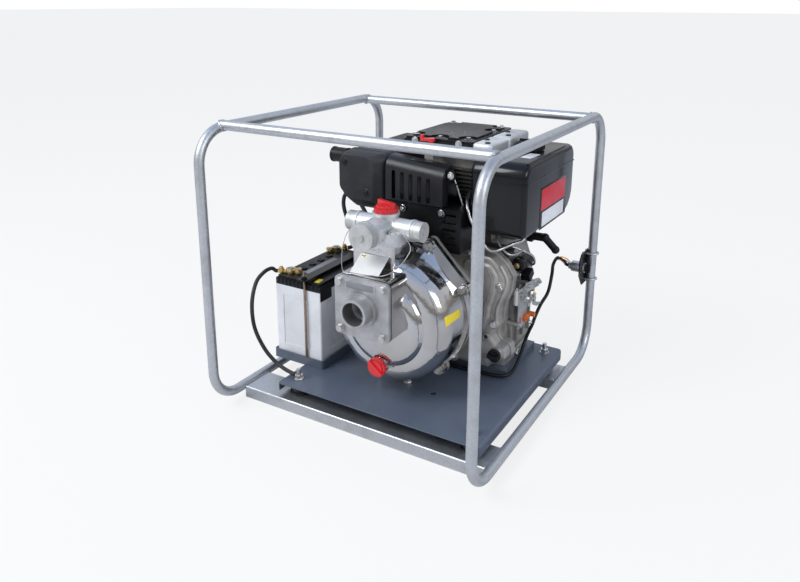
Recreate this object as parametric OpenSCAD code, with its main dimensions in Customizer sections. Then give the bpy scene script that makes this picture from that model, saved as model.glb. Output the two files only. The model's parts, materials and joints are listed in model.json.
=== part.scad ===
// Diesel fire pump in a tubular carry frame. The pump faces -Y, up is +Z.

/* [Carry frame] */
// Outside diameter of the frame tube
tube_d = 21.3; // [18:0.1:30]
// Distance between the middle planes of the two hoops
hoop_gap = 620; // [600:5:700]
// Front to rear posts of a hoop, centre to centre
hoop_depth = 678; // [670:2:740]
// Height of a hoop, centre to centre of its level tubes
hoop_height = 603; // [590:1:680]
// Radius of the hoop bends at the middle of the tube
bend_r = 72; // [50:1:110]
// Height of the hoops above the floor
tube_lift = 14; // [8:1:22]
// Distance of the top rails from the middle of the frame
rail_y = 272; // [240:1:290]
// Rise of the front rail above the level of the hoops
front_rail_rise = 4.5; // [0:0.5:6]
// Drop of the rear rail below the level of the hoops
rear_rail_drop = 2.5; // [0:0.5:5]

/* [Base channels] */
// Width of a base channel
channel_w = 80; // [60:1:100]
// Height of a base channel
channel_h = 27; // [20:1:32]
// Sheet thickness of a base channel
channel_t = 4; // [2:0.5:6]
// Middle of the front channel along Y
front_channel_y = -215; // [-230:1:-190]
// Middle of the rear channel along Y
rear_channel_y = 176; // [160:1:200]

/* [Base plate] */
// Width of the base plate
plate_w = 494; // [460:2:520]
// Depth of the base plate
plate_d = 480; // [470:2:520]
// Middle of the base plate along X
plate_x = 37; // [20:1:45]
// Middle of the base plate along Y
plate_y = -9; // [-20:1:0]
// Sheet thickness of the base plate
plate_t = 3; // [2:0.5:5]
// Height of the folded skirts at its left and right
skirt_h = 22; // [12:1:28]
// Height of a rubber mount
mount_h = 30; // [20:1:40]
// Diameter of a rubber mount
mount_d = 40; // [30:1:50]
// Mounts from the left and right edges of the plate
mount_inset_x = 33; // [26:1:60]
// Mounts from the front and rear edges of the plate
mount_inset_y = 37; // [28:1:45]
// Diameter of the mount studs
stud_d = 10; // [8:1:12]
// Height of the bar ring that carries the engine feet
ring_h = 14; // [8:1:20]
// Width of the bars of that ring
ring_bar = 32; // [24:1:45]

/* [Engine block] */
// Middle of the crankshaft along X
axis_x = 45; // [35:1:55]
// Height of the crankshaft above the engine feet
shaft_height = 161; // [155:1:170]
// Front face of the gear case along Y
engine_front = 5; // [0:1:12]
// Depth of the gear case
gear_case_t = 40; // [30:1:50]
// Depth of the crankcase
crankcase_d = 170; // [150:1:190]
// Diameter of the crankshaft in its bearings
crank_d = 50; // [40:1:56]
// Left reach of the engine feet from the crankshaft
foot_left = 130; // [120:1:135]
// Right reach of the engine feet from the crankshaft
foot_right = 162; // [150:1:170]
// Thickness of the engine feet
foot_t = 18; // [12:1:24]
// Diameter of the foot bolts
foot_bolt_d = 10; // [8:1:12]
// Width of the cooling fins
fin_w = 150; // [130:1:170]
// Number of cooling fins
fin_count = 9; // [6:1:11]
// Pitch of the cooling fins
fin_pitch = 13; // [11:0.5:14]
// Thickness of a cooling fin
fin_t = 3; // [2:0.5:4]
// Height of the cylinder head
head_h = 96; // [80:1:100]

/* [Engine covers] */
// Guard's lower edge above the engine's feet
guard_rise = 384; // [370:1:400]
// Width of the muffler guard
guard_w = 141; // [120:1:150]
// Height of the muffler guard at its left end
guard_h = 81; // [74:1:90]
// Drop of the guard top towards its right end
guard_drop = 14; // [0:1:18]
// Sheet thickness of the guards and shrouds
sheet_t = 2; // [1:0.5:3]
// Number of slots in the muffler guard
slot_count = 5; // [3:1:6]
// Width of a slot
slot_w = 11; // [6:1:14]
// Pitch of the slots
slot_pitch = 21.3; // [18:0.1:24]
// Air cleaner's lower face above the engine's feet
cleaner_rise = 354; // [340:1:370]
// Width of the air cleaner
cleaner_w = 118; // [100:1:126]
// Height of the air cleaner
cleaner_h = 127; // [110:1:135]
// Depth of the air cleaner
cleaner_d = 290; // [220:2:300]
// Width of the pressed top cover
top_cover_w = 177; // [160:1:182]
// Depth of the pressed top cover
top_cover_d = 231; // [200:1:240]

/* [Fuel tank] */
// Width of the fuel tank
tank_w = 126; // [110:1:130]
// Depth of the fuel tank
tank_d = 306; // [280:2:312]
// Height of the fuel tank
tank_h = 160; // [140:1:165]
// Left side of the fuel tank along X
tank_left = 139; // [136:1:145]
// Front of the fuel tank along Y
tank_front = -15; // [-20:1:-5]
// Bottom of the fuel tank above the engine feet
tank_rise = 328; // [320:1:335]
// Corner radius of the tank seen from the side
tank_r = 34; // [20:1:45]
// Diameter of the tank filler cap
tank_cap_d = 62; // [50:1:70]

/* [Pump casing] */
// Engine face to the rear of the back plate
adapter_len = 73; // [68:1:76]
// Thickness of the back plate
back_plate_t = 10; // [8:1:14]
// Thickness of the casing flange
flange_t = 12; // [10:1:16]
// Outside radius of the volute drum
drum_r = 138; // [132:1:141]
// Rim of the flange outside the drum
flange_rim = 5; // [3:1:8]
// Depth of the straight part of the drum
drum_d = 60; // [50:1:66]
// Radius that rounds the drum into its front face
drum_round = 40; // [30:1:44]
// Sideways offset of the drum from the shaft
drum_shift = -9; // [-12:1:0]
// Wall thickness of the casing
casing_wall = 8; // [6:0.5:9]
// Width and height of the boxed suction chamber
chamber_w = 127; // [120:1:130]
// Height of the suction port above the shaft
port_rise = 54; // [48:1:58]
// Sideways offset of the suction port from the shaft
port_shift = -22; // [-28:1:-16]
// Front face of the suction chamber along Y
chamber_front = -243; // [-250:1:-240]
// Width of the riser under the outlets
riser_w = 88; // [80:1:90]
// Extra reach of the riser to the left
riser_step = 12; // [0:1:16]
// Middle of the riser along X
riser_x = 10; // [6:1:14]
// Middle of the riser along Y
riser_y = -140; // [-144:1:-136]
// Height of the riser top above the shaft
riser_h = 166; // [162:1:172]
// Radius of a casing lug
lug_r = 14; // [11:1:16]
// Diameter of the casing bolts
casing_bolt_d = 8; // [6:1:10]

/* [Suction cover] */
// Thickness of the suction cover
cover_t = 8; // [6:0.5:10]
// Thickness of the gasket
gasket_t = 4; // [2:0.5:5]
// Outside diameter of the suction stub
stub_d = 60; // [54:1:64]
// Bore of the suction stub
stub_bore = 49; // [44:1:52]
// Length of the suction stub
stub_len = 31; // [24:1:36]
// Diameter of the check flap
flap_d = 62; // [58:1:66]
// Thickness of the check flap
flap_t = 4; // [3:0.5:6]

/* [Outlets] */
// Width of the outlet flange
pad_w = 96; // [92:1:100]
// Thickness of the outlet flange
pad_t = 27; // [22:1:30]
// Height of the outlet pipes above the flange foot
outlet_rise = 29; // [27:1:32]
// Thread diameter of the front outlet
front_thread_d = 47.8; // [44:0.1:50]
// Thread diameter of the side outlets
side_thread_d = 33.2; // [30:0.1:36]
// Reach of the front outlet from the middle of the flange
front_reach = 92; // [84:1:96]
// Reach of the side outlets from the middle of the flange
side_reach = 86; // [80:1:90]
// Length of an outlet cap
cap_len = 22; // [18:1:26]
// Wall of an outlet cap
cap_wall = 4; // [3:0.5:5]
// Clearance round a thread under its cap
thread_gap = 0.3; // [0.2:0.05:0.5]
// Diameter of the priming plug
plug_d = 51; // [46:1:54]
// Diameter of the drain plug
drain_d = 42; // [38:1:46]
// Height of the drain above the floor
drain_z = 147; // [140:1:152]

/* [Recoil starter] */
// Radius of the blower housing
blower_r = 132; // [128:1:136]
// Depth of the blower housing
blower_d = 62; // [56:1:66]
// Radius of the flywheel
flywheel_r = 112; // [104:1:116]

/* [Battery] */
// Width of the battery
battery_w = 129; // [120:1:135]
// Length of the battery
battery_l = 238; // [220:2:244]
// Height of the battery case without its lid
battery_h = 182; // [160:1:190]
// Height of the battery lid
lid_h = 20; // [16:1:24]
// Right side of the battery tray along X
tray_right = -154; // [-158:1:-150]
// Front of the battery tray along Y
tray_front = -154; // [-158:1:-150]
// Height of the battery tray
tray_h = 21; // [16:1:26]
// Sheet thickness of the tray
tray_t = 3; // [2:0.5:4]
// Room round the battery in its tray
tray_room = 6; // [4:1:8]

/* [Switch panel] */
// Front edge of the switch plate along Y
switch_y = 278; // [274:1:282]
// Middle of the switch above the floor
switch_z = 252; // [246:1:258]
// Diameter of the switch knob
knob_d = 20; // [16:1:24]

/* [View] */
// Which sub-part to draw

/* [Hidden] */
seat = 0.3;
run_gap = 0.05;
$fn = 64;
steel = [0.74, 0.76, 0.78];
galvanised = [0.78, 0.8, 0.82];
grey_paint = [0.27, 0.31, 0.37];
black_paint = [0.07, 0.07, 0.08];
cast_grey = [0.62, 0.62, 0.6];
polished = [0.78, 0.78, 0.79];
red_plastic = [0.83, 0.08, 0.1];
rubber_black = [0.05, 0.05, 0.05];
brass_tone = [0.8, 0.62, 0.26];

hoop_x = hoop_gap / 2;
low_tube_z = tube_lift + tube_d / 2;
top_tube_z = low_tube_z + hoop_height;
front_rail_z = top_tube_z + front_rail_rise;
rear_rail_z = top_tube_z - rear_rail_drop;
channel_len = hoop_gap - tube_d - seat;

plate_top = channel_h + mount_h + plate_t;
mount_x = [plate_x - plate_w / 2 + mount_inset_x, plate_x + plate_w / 2 - mount_inset_x];
mount_y = [plate_y - plate_d / 2 + mount_inset_y, plate_y + plate_d / 2 - mount_inset_y];
nut_h = 0.8 * stud_d;
nut_r = 0.95 * stud_d;
washer_t = 2;

foot_z = plate_top + ring_h;
axis_z = foot_z + shaft_height;
case_rear = engine_front + gear_case_t;
block_rear = case_rear + crankcase_d;
foot_y = [case_rear + 8, case_rear + 160];
foot_bolt_inset = 20;
cylinder_x = axis_x + 10;
cylinder_y = case_rear + 85;
cylinder_z = axis_z + 112;
head_z = cylinder_z + fin_count * fin_pitch;
head_top = head_z + head_h;
tank_z = foot_z + tank_rise;
shelf_z = max(head_top + 3.5, tank_z + tank_h + 1.5);
shelf_t = 4;
top_cover_z = shelf_z + shelf_t + 0.5;

guard_x = [-50, -50 + guard_w];
guard_y = -45;
guard_z = foot_z + guard_rise;
cleaner_rim = 2;
cleaner_right = guard_x[0] - seat - cleaner_rim;
cleaner_z = foot_z + cleaner_rise;
cleaner_y = -60;

plate_back_y = engine_front - adapter_len;
plate_front_y = plate_back_y - back_plate_t;
flange_front_y = plate_front_y - flange_t;
drum_x = axis_x + drum_shift;
drum_front_y = flange_front_y - drum_d - drum_round;
port_x = axis_x + port_shift;
port_z = axis_z + port_rise;
cover_back_y = chamber_front - gasket_t;
cover_front_y = cover_back_y - cover_t;
mouth_y = cover_front_y - stub_len;
riser_top = axis_z + riser_h;
pad_top = riser_top + pad_t;
outlet_z = riser_top + outlet_rise;
casing_bolt_r = casing_bolt_d / 2;
impeller_y = drum_front_y + casing_wall + 10;
pump_shaft_r = 15;
bell_r = 84;
bell_bolt_r = bell_r + 14;
drain_x = axis_x - 12;
support_x = drum_x + 3;
support_y = flange_front_y - 8;
support_z = axis_z - drum_r - 14;

// Places of the casing lugs from the middle of the drum
lugs = [[50, 152], [130, 70], [78, -125], [-65, -133], [-146, -24], [-114, 94]];

// Draws its children with their X along Y and their Y upwards, at x
module side_on(x) {
    translate([x, 0, 0]) rotate([90, 0, 90]) children();
}

module rod_x(x, y, z, r, length) {
    translate([x, y, z]) rotate([0, 90, 0]) cylinder(h = length, r = r);
}

module rod_y(x, y, z, r, length) {
    translate([x, y, z]) rotate([-90, 0, 0]) cylinder(h = length, r = r);
}

// Rectangle with rounded corners, centred
module rounded(w, h, r) {
    square([w - 2 * r, h], center = true);
    square([w, h - 2 * r], center = true);
    for (sx = [-1, 1], sy = [-1, 1])
        translate([sx * (w / 2 - r), sy * (h / 2 - r)]) circle(r);
}

// Rectangle on its foot with two rounded top corners, centred on X
module arched(w, h, r) {
    translate([-w / 2, 0]) square([w, h - r]);
    translate([-w / 2 + r, 0]) square([w - 2 * r, h]);
    for (s = [-1, 1]) translate([s * (w / 2 - r), h - r]) circle(r);
}

module hexagon(r, h) {
    cylinder(h = h, r = r, $fn = 6);
}

// Bolt along +Y whose head sits in front of y
module bolt_y(x, y, z, d, length) {
    translate([x, y, z]) rotate([90, 0, 0]) {
        cylinder(h = 0.2 * d, r = 1.05 * d);
        hexagon(0.95 * d, 0.85 * d);
    }
    rod_y(x, y - 0.01, z, d / 2, length);
}

// Bolt down -Z whose head sits on z
module bolt_z(x, y, z, d, length) {
    translate([x, y, z]) {
        cylinder(h = 0.2 * d, r = 1.1 * d);
        hexagon(0.95 * d, 0.85 * d);
        translate([0, 0, -length]) cylinder(h = length + 0.01, r = d / 2);
    }
}

// Tube swept along points, for a cord
module cord(points, r) {
    sides = 10;
    count = len(points);
    function along(i) = let (d = points[min(i + 1, count - 1)] - points[max(i - 1, 0)]) d / norm(d);
    function across(t) = let (c = cross(t, abs(t[2]) < 0.8 ? [0, 0, 1] : [1, 0, 0])) c / norm(c);
    rings = [for (i = [0:count - 1], k = [0:sides - 1])
        let (t = along(i), a = across(t), b = cross(t, a))
        points[i] + r * (a * cos(360 * k / sides) + b * sin(360 * k / sides))];
    walls = [for (i = [0:count - 2], k = [0:sides - 1])
        let (n = (k + 1) % sides)
        [i * sides + k, i * sides + n, (i + 1) * sides + n, (i + 1) * sides + k]];
    ends = [[for (k = [sides - 1:-1:0]) k], [for (k = [0:sides - 1]) (count - 1) * sides + k]];
    polyhedron(points = rings, faces = concat(walls, ends));
}

// Points of a smooth curve through hand-chosen stops
function smooth(stops, steps) = [for (i = [0:len(stops) - 2], k = [0:steps - 1])
    let (a = stops[max(i - 1, 0)], b = stops[i], c = stops[i + 1],
         d = stops[min(i + 2, len(stops) - 1)], t = k / steps)
    0.5 * (2 * b + (c - a) * t + (2 * a - 5 * b + 4 * c - d) * t * t + (3 * b - a - 3 * c + d) * t * t * t)];
function route(stops, steps) = concat(smooth(stops, steps), [stops[len(stops) - 1]]);

// One hoop: four straight tubes and four bends
module hoop(x, r) {
    half = hoop_depth / 2;
    side_on(x) for (turn = [0, 1], flip = [0, 1]) {
        mirror([turn, 0, 0]) translate([0, flip * (low_tube_z + top_tube_z), 0]) mirror([0, flip, 0]) {
            translate([0, low_tube_z, 0]) rotate([0, 90, 0]) cylinder(h = half - bend_r, r = r);
            translate([half - bend_r, low_tube_z + bend_r, 0]) rotate([0, 0, -90])
                rotate_extrude(angle = 90) translate([bend_r, 0]) circle(r);
            translate([half, low_tube_z + bend_r, 0]) rotate([-90, 0, 0])
                cylinder(h = hoop_height / 2 - bend_r, r = r);
        }
    }
}

module left_hoop() {
    color(galvanised) hoop(-hoop_x, tube_d / 2);
}

module right_hoop() {
    color(galvanised) hoop(hoop_x, tube_d / 2);
}

// Cross tube with its ends coped round the tubes of the hoops
module top_rail(y, z) {
    color(galvanised) difference() {
        rod_x(-hoop_x, y, z, tube_d / 2, hoop_gap);
        for (s = [-1, 1]) hoop(s * hoop_x, tube_d / 2 + seat / 2);
    }
}

module front_top_rail() {
    top_rail(-rail_y, front_rail_z);
}

module rear_top_rail() {
    top_rail(rail_y, rear_rail_z);
}

// Channel with its web up and its flanges down
module base_channel(y, holes_y) {
    color(galvanised) difference() {
        translate([-channel_len / 2, y, 0]) rotate([90, 0, 90]) linear_extrude(channel_len) difference() {
            arched(channel_w, channel_h, channel_t);
            translate([0, -1]) square([channel_w - 2 * channel_t, 2 * (channel_h - channel_t + 1)],
                center = true);
        }
        for (x = mount_x) translate([x, holes_y, 0]) cylinder(h = channel_h + 1, r = stud_d / 2 + 0.5);
    }
}

module front_channel() {
    base_channel(front_channel_y, mount_y[0]);
}

module rear_channel() {
    base_channel(rear_channel_y, mount_y[1]);
}

module rubber_mounts() {
    waist = mount_d / 2 - 3;
    color(rubber_black) for (x = mount_x, y = mount_y) translate([x, y, channel_h]) difference() {
        union() {
            cylinder(h = 6, r = mount_d / 2);
            cylinder(h = mount_h, r = waist);
            translate([0, 0, mount_h - 6]) cylinder(h = 6, r = mount_d / 2);
        }
        translate([0, 0, -1]) cylinder(h = mount_h + 2, r = stud_d / 2 + run_gap);
    }
}

// Studs of the mounts with nuts and washers, and the stud under the pump
module plate_studs() {
    stud_top = 14;
    color(steel) {
        for (x = mount_x, y = mount_y) translate([x, y, 0]) {
            translate([0, 0, channel_h - channel_t - nut_h - 6])
                cylinder(h = plate_top + washer_t + nut_h + stud_top - channel_h + channel_t + nut_h + 6, r = stud_d / 2);
            translate([0, 0, channel_h - channel_t - nut_h]) hexagon(nut_r, nut_h);
            translate([0, 0, plate_top]) cylinder(h = washer_t, r = 1.1 * stud_d);
            translate([0, 0, plate_top + washer_t]) hexagon(nut_r, nut_h);
        }
        translate([support_x, support_y, plate_top - 18]) {
            cylinder(h = support_z - plate_top + 18 + stud_d, r = stud_d / 2);
            translate([0, 0, 18]) cylinder(h = washer_t, r = 1.1 * stud_d);
            translate([0, 0, 18 + washer_t]) hexagon(nut_r, nut_h);
            translate([0, 0, 18 - plate_t - nut_h]) hexagon(nut_r, nut_h);
        }
    }
}

// Plate with folded skirts, holes for the studs and the welded bar ring
module base_plate() {
    ring_x = [axis_x - foot_left - 5, axis_x + foot_right + 12];
    ring_y = [foot_y[0] - 19, foot_y[1] + 6];
    color(grey_paint) {
        difference() {
            intersection() {
                translate([plate_x, plate_y - plate_d / 2, plate_top - skirt_h]) rotate([90, 0, 180])
                    linear_extrude(plate_d) difference() {
                        arched(plate_w, skirt_h, 2 * plate_t);
                        translate([0, -1]) arched(plate_w - 2 * plate_t, skirt_h - plate_t + 1, plate_t);
                    }
                translate([plate_x, plate_y, 0]) linear_extrude(plate_top + 1) rounded(plate_w, plate_d, 12);
            }
            for (x = mount_x, y = mount_y) translate([x, y, 0]) cylinder(h = 2 * plate_top,
                r = stud_d / 2 + 0.5);
            translate([support_x, support_y, 0]) cylinder(h = 2 * plate_top, r = stud_d / 2 + 0.5);
            translate([plate_x + 75, plate_y - 104, 0]) cylinder(h = 2 * plate_top, r = 7);
            foot_bolt_places() cylinder(h = 2 * plate_top, r = foot_bolt_d / 2 + 0.5);
        }
        difference() {
            translate([ring_x[0], ring_y[0], plate_top]) cube([ring_x[1] - ring_x[0],
                ring_y[1] - ring_y[0], ring_h]);
            translate([ring_x[0] + ring_bar, ring_y[0] + ring_bar + 14, plate_top - 1])
                cube([ring_x[1] - ring_x[0] - 2 * ring_bar, ring_y[1] - ring_y[0] - 2 * ring_bar - 14,
                    ring_h + 2]);
            foot_bolt_places() cylinder(h = 2 * plate_top, r = foot_bolt_d / 2 + 0.5);
        }
    }
}

// Places of the foot bolts at plate level
module foot_bolt_places() {
    for (x = [axis_x - foot_left + foot_bolt_inset, axis_x + foot_right - foot_bolt_inset],
         y = [foot_y[0] + foot_bolt_inset, foot_y[1] - foot_bolt_inset])
        translate([x, y, 0]) children();
}

// Battery, its tray and its clamp
battery_x = tray_right - tray_t - tray_room / 2 - battery_w / 2;
battery_y = tray_front + tray_t + tray_room / 2 + battery_l / 2;
battery_z = plate_top + tray_t;
lid_z = battery_z + battery_h;
post_x = battery_x - battery_w / 2 + 24;
negative_post = [post_x, battery_y - battery_l / 2 + 28];
positive_post = [post_x, battery_y + battery_l / 2 - 28];
post_r = 7;
post_h = 17;
rod_r = 3;
hold_x = battery_x + 24;
hold_y = [battery_y - battery_l / 2 - rod_r - 1, battery_y + battery_l / 2 + rod_r + 1];

module battery_tray() {
    w = battery_w + tray_room + 2 * tray_t;
    l = battery_l + tray_room + 2 * tray_t;
    color(black_paint) translate([battery_x, battery_y, plate_top]) difference() {
        linear_extrude(tray_h) rounded(w, l, 6);
        translate([0, 0, tray_t]) linear_extrude(tray_h) rounded(w - 2 * tray_t, l - 2 * tray_t, 3);
        translate([-w / 2 - 1, -l / 2 + 40, tray_t + 3]) cube([tray_t + 2, l - 80, tray_h]);
    }
}

// Case with its foot ledge and the long dents of a battery box
module battery_case() {
    color([0.93, 0.93, 0.93]) translate([battery_x, battery_y, battery_z]) {
        difference() {
            linear_extrude(battery_h) rounded(battery_w, battery_l, 4);
            for (sx = [-1, 1]) translate([sx * battery_w / 2, 0, battery_h / 2 + 6])
                cube([3, battery_l - 44, battery_h - 60], center = true);
            for (sy = [-1, 1]) translate([0, sy * battery_l / 2, battery_h / 2 + 6])
                cube([battery_w - 44, 3, battery_h - 60], center = true);
        }
    }
}

module battery_lid() {
    color(black_paint) translate([battery_x, battery_y, lid_z]) difference() {
        union() {
            linear_extrude(lid_h - 6) rounded(battery_w, battery_l, 4);
            translate([0, 0, lid_h - 6 - 0.01]) linear_extrude(6) rounded(battery_w - 8, battery_l - 8, 4);
            for (k = [-2.5:2.5]) translate([12, k * 34, lid_h - 1]) cylinder(h = 5, r = 9);
        }
        for (p = [negative_post, positive_post])
            translate([p[0] - battery_x, p[1] - battery_y, lid_h - 4]) cylinder(h = 8, r = 14);
        for (p = [negative_post, positive_post])
            translate([p[0] - battery_x, p[1] - battery_y, -1]) cylinder(h = 40, r = post_r + run_gap);
    }
}

module battery_posts() {
    color([0.55, 0.56, 0.58]) for (p = [negative_post, positive_post])
        translate([p[0], p[1], lid_z]) cylinder(h = lid_h - 4 + post_h, r = post_r);
}

negative_turn = 200;
positive_turn = 60;
clamp_z = lid_z + lid_h + 1;
eye_reach = post_r + 16;
function clamp_end(p, turn, more) = let (reach = eye_reach + 9 + seat + more)
    [p[0] + reach * cos(turn), p[1] + reach * sin(turn), clamp_z + 2.5];

// Ring clamp with its ears, bolt and nut; the cable leaves it at its eye
module cable_clamp(p, turn) {
    translate([p[0], p[1], clamp_z]) rotate(turn) difference() {
        union() {
            cylinder(h = 11, r = post_r + 4);
            translate([-post_r - 18, -5, 0]) cube([18, 10, 11]);
            translate([eye_reach, 0, 0]) cylinder(h = 5, r = 9);
            translate([0, -6, 0]) cube([eye_reach, 12, 5]);
            translate([eye_reach, 0, 0]) cylinder(h = 14, r = 4);
            translate([eye_reach, 0, 5]) hexagon(7, 5);
            translate([-post_r - 12, 9, 5.5]) rotate([90, 0, 0]) cylinder(h = 18, r = 2.6);
            for (s = [-1, 1]) translate([-post_r - 12, s * 9 + 2, 5.5]) rotate([90, 0, 0]) hexagon(5, 4);
        }
        translate([0, 0, -1]) cylinder(h = 20, r = post_r + run_gap);
        translate([-post_r - 20, -1, -1]) cube([post_r + 18, 2, 13]);
    }
}

module negative_clamp() {
    color(brass_tone) cable_clamp(negative_post, negative_turn);
}

module positive_clamp() {
    color(brass_tone) cable_clamp(positive_post, positive_turn);
}

// Angle bar over the case with two hooked rods and wing nuts
module battery_hold_down() {
    leg = 24;
    rod_top = lid_z + lid_h + 26;
    bar_z = lid_z + lid_h + 0.3;
    color(black_paint) translate([hold_x, battery_y, bar_z]) {
        difference() {
            union() {
                translate([-leg / 2, -battery_l / 2 - 16, 6]) cube([leg, battery_l + 32, tray_t]);
                translate([leg / 2 - tray_t, -battery_l / 2 - 16, 6 - 5]) cube([tray_t, battery_l + 32, 6]);
            }
            for (y = hold_y) translate([0, y - battery_y, 0]) cylinder(h = 20, r = rod_r);
        }
    }
    color(steel) for (y = hold_y) {
        translate([hold_x, y, plate_top + tray_h + seat]) cylinder(h = rod_top - plate_top - tray_h,
            r = rod_r);
        translate([hold_x, y, bar_z + 6 + tray_t]) cylinder(h = 1.5, r = 8);
        translate([hold_x, y, bar_z + 7.5 + tray_t]) hexagon(6, 5);
    }
}

// Outline of the casing flange, shared with the back plate
module flange_outline(r) {
    circle(r);
    for (p = lugs) {
        translate(p) circle(lug_r);
        rotate(atan2(p[1], p[0])) translate([0, 1 - lug_r]) square([norm(p), 2 * lug_r - 2]);
    }
    run = (lugs[1] - lugs[0]) / norm(lugs[1] - lugs[0]);
    out = [-run[1], run[0]] * (lug_r - 1);
    polygon([[0, 0], lugs[0] + out, lugs[1] + out]);
}

module at_lugs(y) {
    for (p = lugs) translate([drum_x + p[0], y, axis_z + p[1]]) children();
}

// Turned body along -Y from its flat rear face, with a rounded front edge
module dome(r, depth, round_r) {
    rotate_extrude() {
        square([r, depth]);
        square([r - round_r, depth + round_r]);
        intersection() {
            translate([r - round_r, depth]) circle(round_r);
            square([r, depth + round_r]);
        }
    }
}

// Block of the riser, stepped at its left
module riser_block() {
    left = riser_w / 2 + riser_step;
    low = axis_z + 80;
    translate([riser_x + riser_w / 2 - (left + riser_w / 2) / 2, riser_y, low])
        linear_extrude(riser_top - low) rounded(left + riser_w / 2, riser_w, 7);
}

// Volute casing with its chamber, riser, drain neck, lugs and support boss.
// Its cavity follows the outside at one wall and opens into the eye.
module pump_casing() {
    boss_r = 96;
    boss_round = 30;
    boss_out = 16;
    chamber_rear = riser_y - 10;
    color(polished) difference() {
        union() {
            translate([drum_x, flange_front_y + flange_t, axis_z]) rotate([90, 0, 0])
                linear_extrude(flange_t) flange_outline(drum_r + flange_rim);
            translate([drum_x, flange_front_y + 1, axis_z]) rotate([90, 0, 0]) dome(drum_r, drum_d + 1,
                drum_round);
            translate([drum_x, drum_front_y + drum_round, axis_z]) rotate([90, 0, 0])
                dome(boss_r, drum_round + boss_out - boss_round, boss_round);
            at_lugs(flange_front_y + 1) rotate([90, 0, 0]) cylinder(h = 9, r = lug_r - 2);
            intersection() {
                translate([drum_x, flange_front_y + 1, axis_z]) rotate([90, 0, 0]) linear_extrude(46)
                    polygon([[0, 0], lugs[0], lugs[1]]);
                translate([drum_x, flange_front_y + 2, axis_z]) rotate([90, 0, 0])
                    rotate_extrude() polygon([[0, 0], [166, 0], [150, 12], [128, 48], [0, 48]]);
            }
            translate([port_x, 0, port_z]) rotate([90, 0, 0]) translate([0, 0, -chamber_rear])
                linear_extrude(chamber_rear - chamber_front) rounded(chamber_w, chamber_w, 12);
            riser_block();
            rod_y(drain_x, drum_front_y - 19, drain_z, 18, 40);
            translate([support_x, support_y, support_z]) cylinder(h = 40, r = 12);
        }
        cavity();
        bolt_seats();
    }
}

// Water space of the casing
module cavity() {
    inner_round = drum_round - casing_wall;
    inside = chamber_w - 18;
    translate([drum_x, flange_front_y + flange_t + 1, axis_z]) rotate([90, 0, 0])
        dome(drum_r - casing_wall, drum_d + flange_t + 1, inner_round);
    translate([port_x, 0, port_z]) rotate([90, 0, 0]) translate([0, 0, 10 - drum_front_y - 4])
        linear_extrude(drum_front_y - chamber_front) rounded(inside, inside, 8);
    rod_y(axis_x, drum_front_y - 10, axis_z, 32, 30);
    translate([riser_x, riser_y, axis_z + 100]) cylinder(h = 200, r = 30);
    rod_y(drain_x, drum_front_y - 40, drain_z, drain_bore, 60);
}

drain_bore = 11;

// Threaded and plain holes of the casing
module bolt_seats() {
    at_lugs(flange_front_y - 20) rotate([-90, 0, 0]) cylinder(h = 60, r = casing_bolt_r + run_gap);
    at_lugs(flange_front_y - 8) rotate([90, 0, 0]) cylinder(h = 30, r = 9);
    translate([support_x, support_y, support_z - 1]) cylinder(h = stud_d + 2, r = stud_d / 2 + run_gap);
    for (p = cover_bolts) rod_y(p[0], chamber_front - 1, p[1], cover_bolt_d / 2 + run_gap, 24);
    for (p = pad_bolts) translate([p[0], p[1], riser_top - 20]) cylinder(h = 30,
        r = pad_bolt_d / 2 + run_gap);
}

cover_bolt_d = 8;
cover_bolt_inset = 13;
cover_bolts = [for (sx = [-1, 1], sz = [-1, 1])
    [port_x + sx * (chamber_w / 2 - cover_bolt_inset), port_z + sz * (chamber_w / 2 - cover_bolt_inset)]];
pad_bolt_d = 8;
pad_bolts = [[riser_x + 36, riser_y - 36], [riser_x - 36, riser_y + 36]];

module suction_gasket() {
    color(rubber_black) translate([port_x, chamber_front, port_z]) rotate([90, 0, 0]) difference() {
        linear_extrude(gasket_t) rounded(chamber_w, chamber_w, 12);
        translate([0, 0, -1]) linear_extrude(gasket_t + 2) rounded(chamber_w - 18, chamber_w - 18, 8);
        for (p = cover_bolts) translate([p[0] - port_x, p[1] - port_z, -1])
            cylinder(h = gasket_t + 2, r = cover_bolt_d / 2 + run_gap);
    }
}

flap_pin_r = 3;
flap_pin_z = port_z + 38;
flap_pin_y = chamber_front + 3;

// Cover plate with its suction stub, bare panel and the lugs of the flap
module suction_cover() {
    color(cast_grey) difference() {
        union() {
            translate([port_x, cover_back_y, port_z]) rotate([90, 0, 0])
                linear_extrude(cover_t) rounded(chamber_w, chamber_w, 12);
            translate([port_x, cover_front_y + 1, port_z]) rotate([90, 0, 0]) {
                cylinder(h = 8, r = stub_base_r);
                cylinder(h = stub_len + 1, r = stub_d / 2);
            }
            translate([port_x - 33, cover_front_y - 1, port_z + 42]) cube([66, 2, 14]);
            for (p = cover_bolts) rod_y(p[0], cover_front_y - 1, p[1], 11, 3);
            for (s = [-1, 1]) translate([port_x + s * 16 - 3, cover_back_y - 1, flap_pin_z - 7])
                cube([6, flap_pin_y - cover_back_y + 6, 14]);
        }
        rod_y(port_x, mouth_y - 1, port_z, stub_bore / 2, stub_len + cover_t + 2);
        for (p = cover_bolts) rod_y(p[0], cover_front_y - 3, p[1], cover_bolt_d / 2 + run_gap, cover_t + 6);
        rod_x(port_x - 30, flap_pin_y, flap_pin_z, flap_pin_r + run_gap, 60);
    }
}

stub_base_r = stub_d / 2 + 7;

module suction_cover_bolts() {
    color(steel) for (p = cover_bolts) bolt_y(p[0], cover_front_y - 1, p[1], cover_bolt_d, 26);
}

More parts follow.
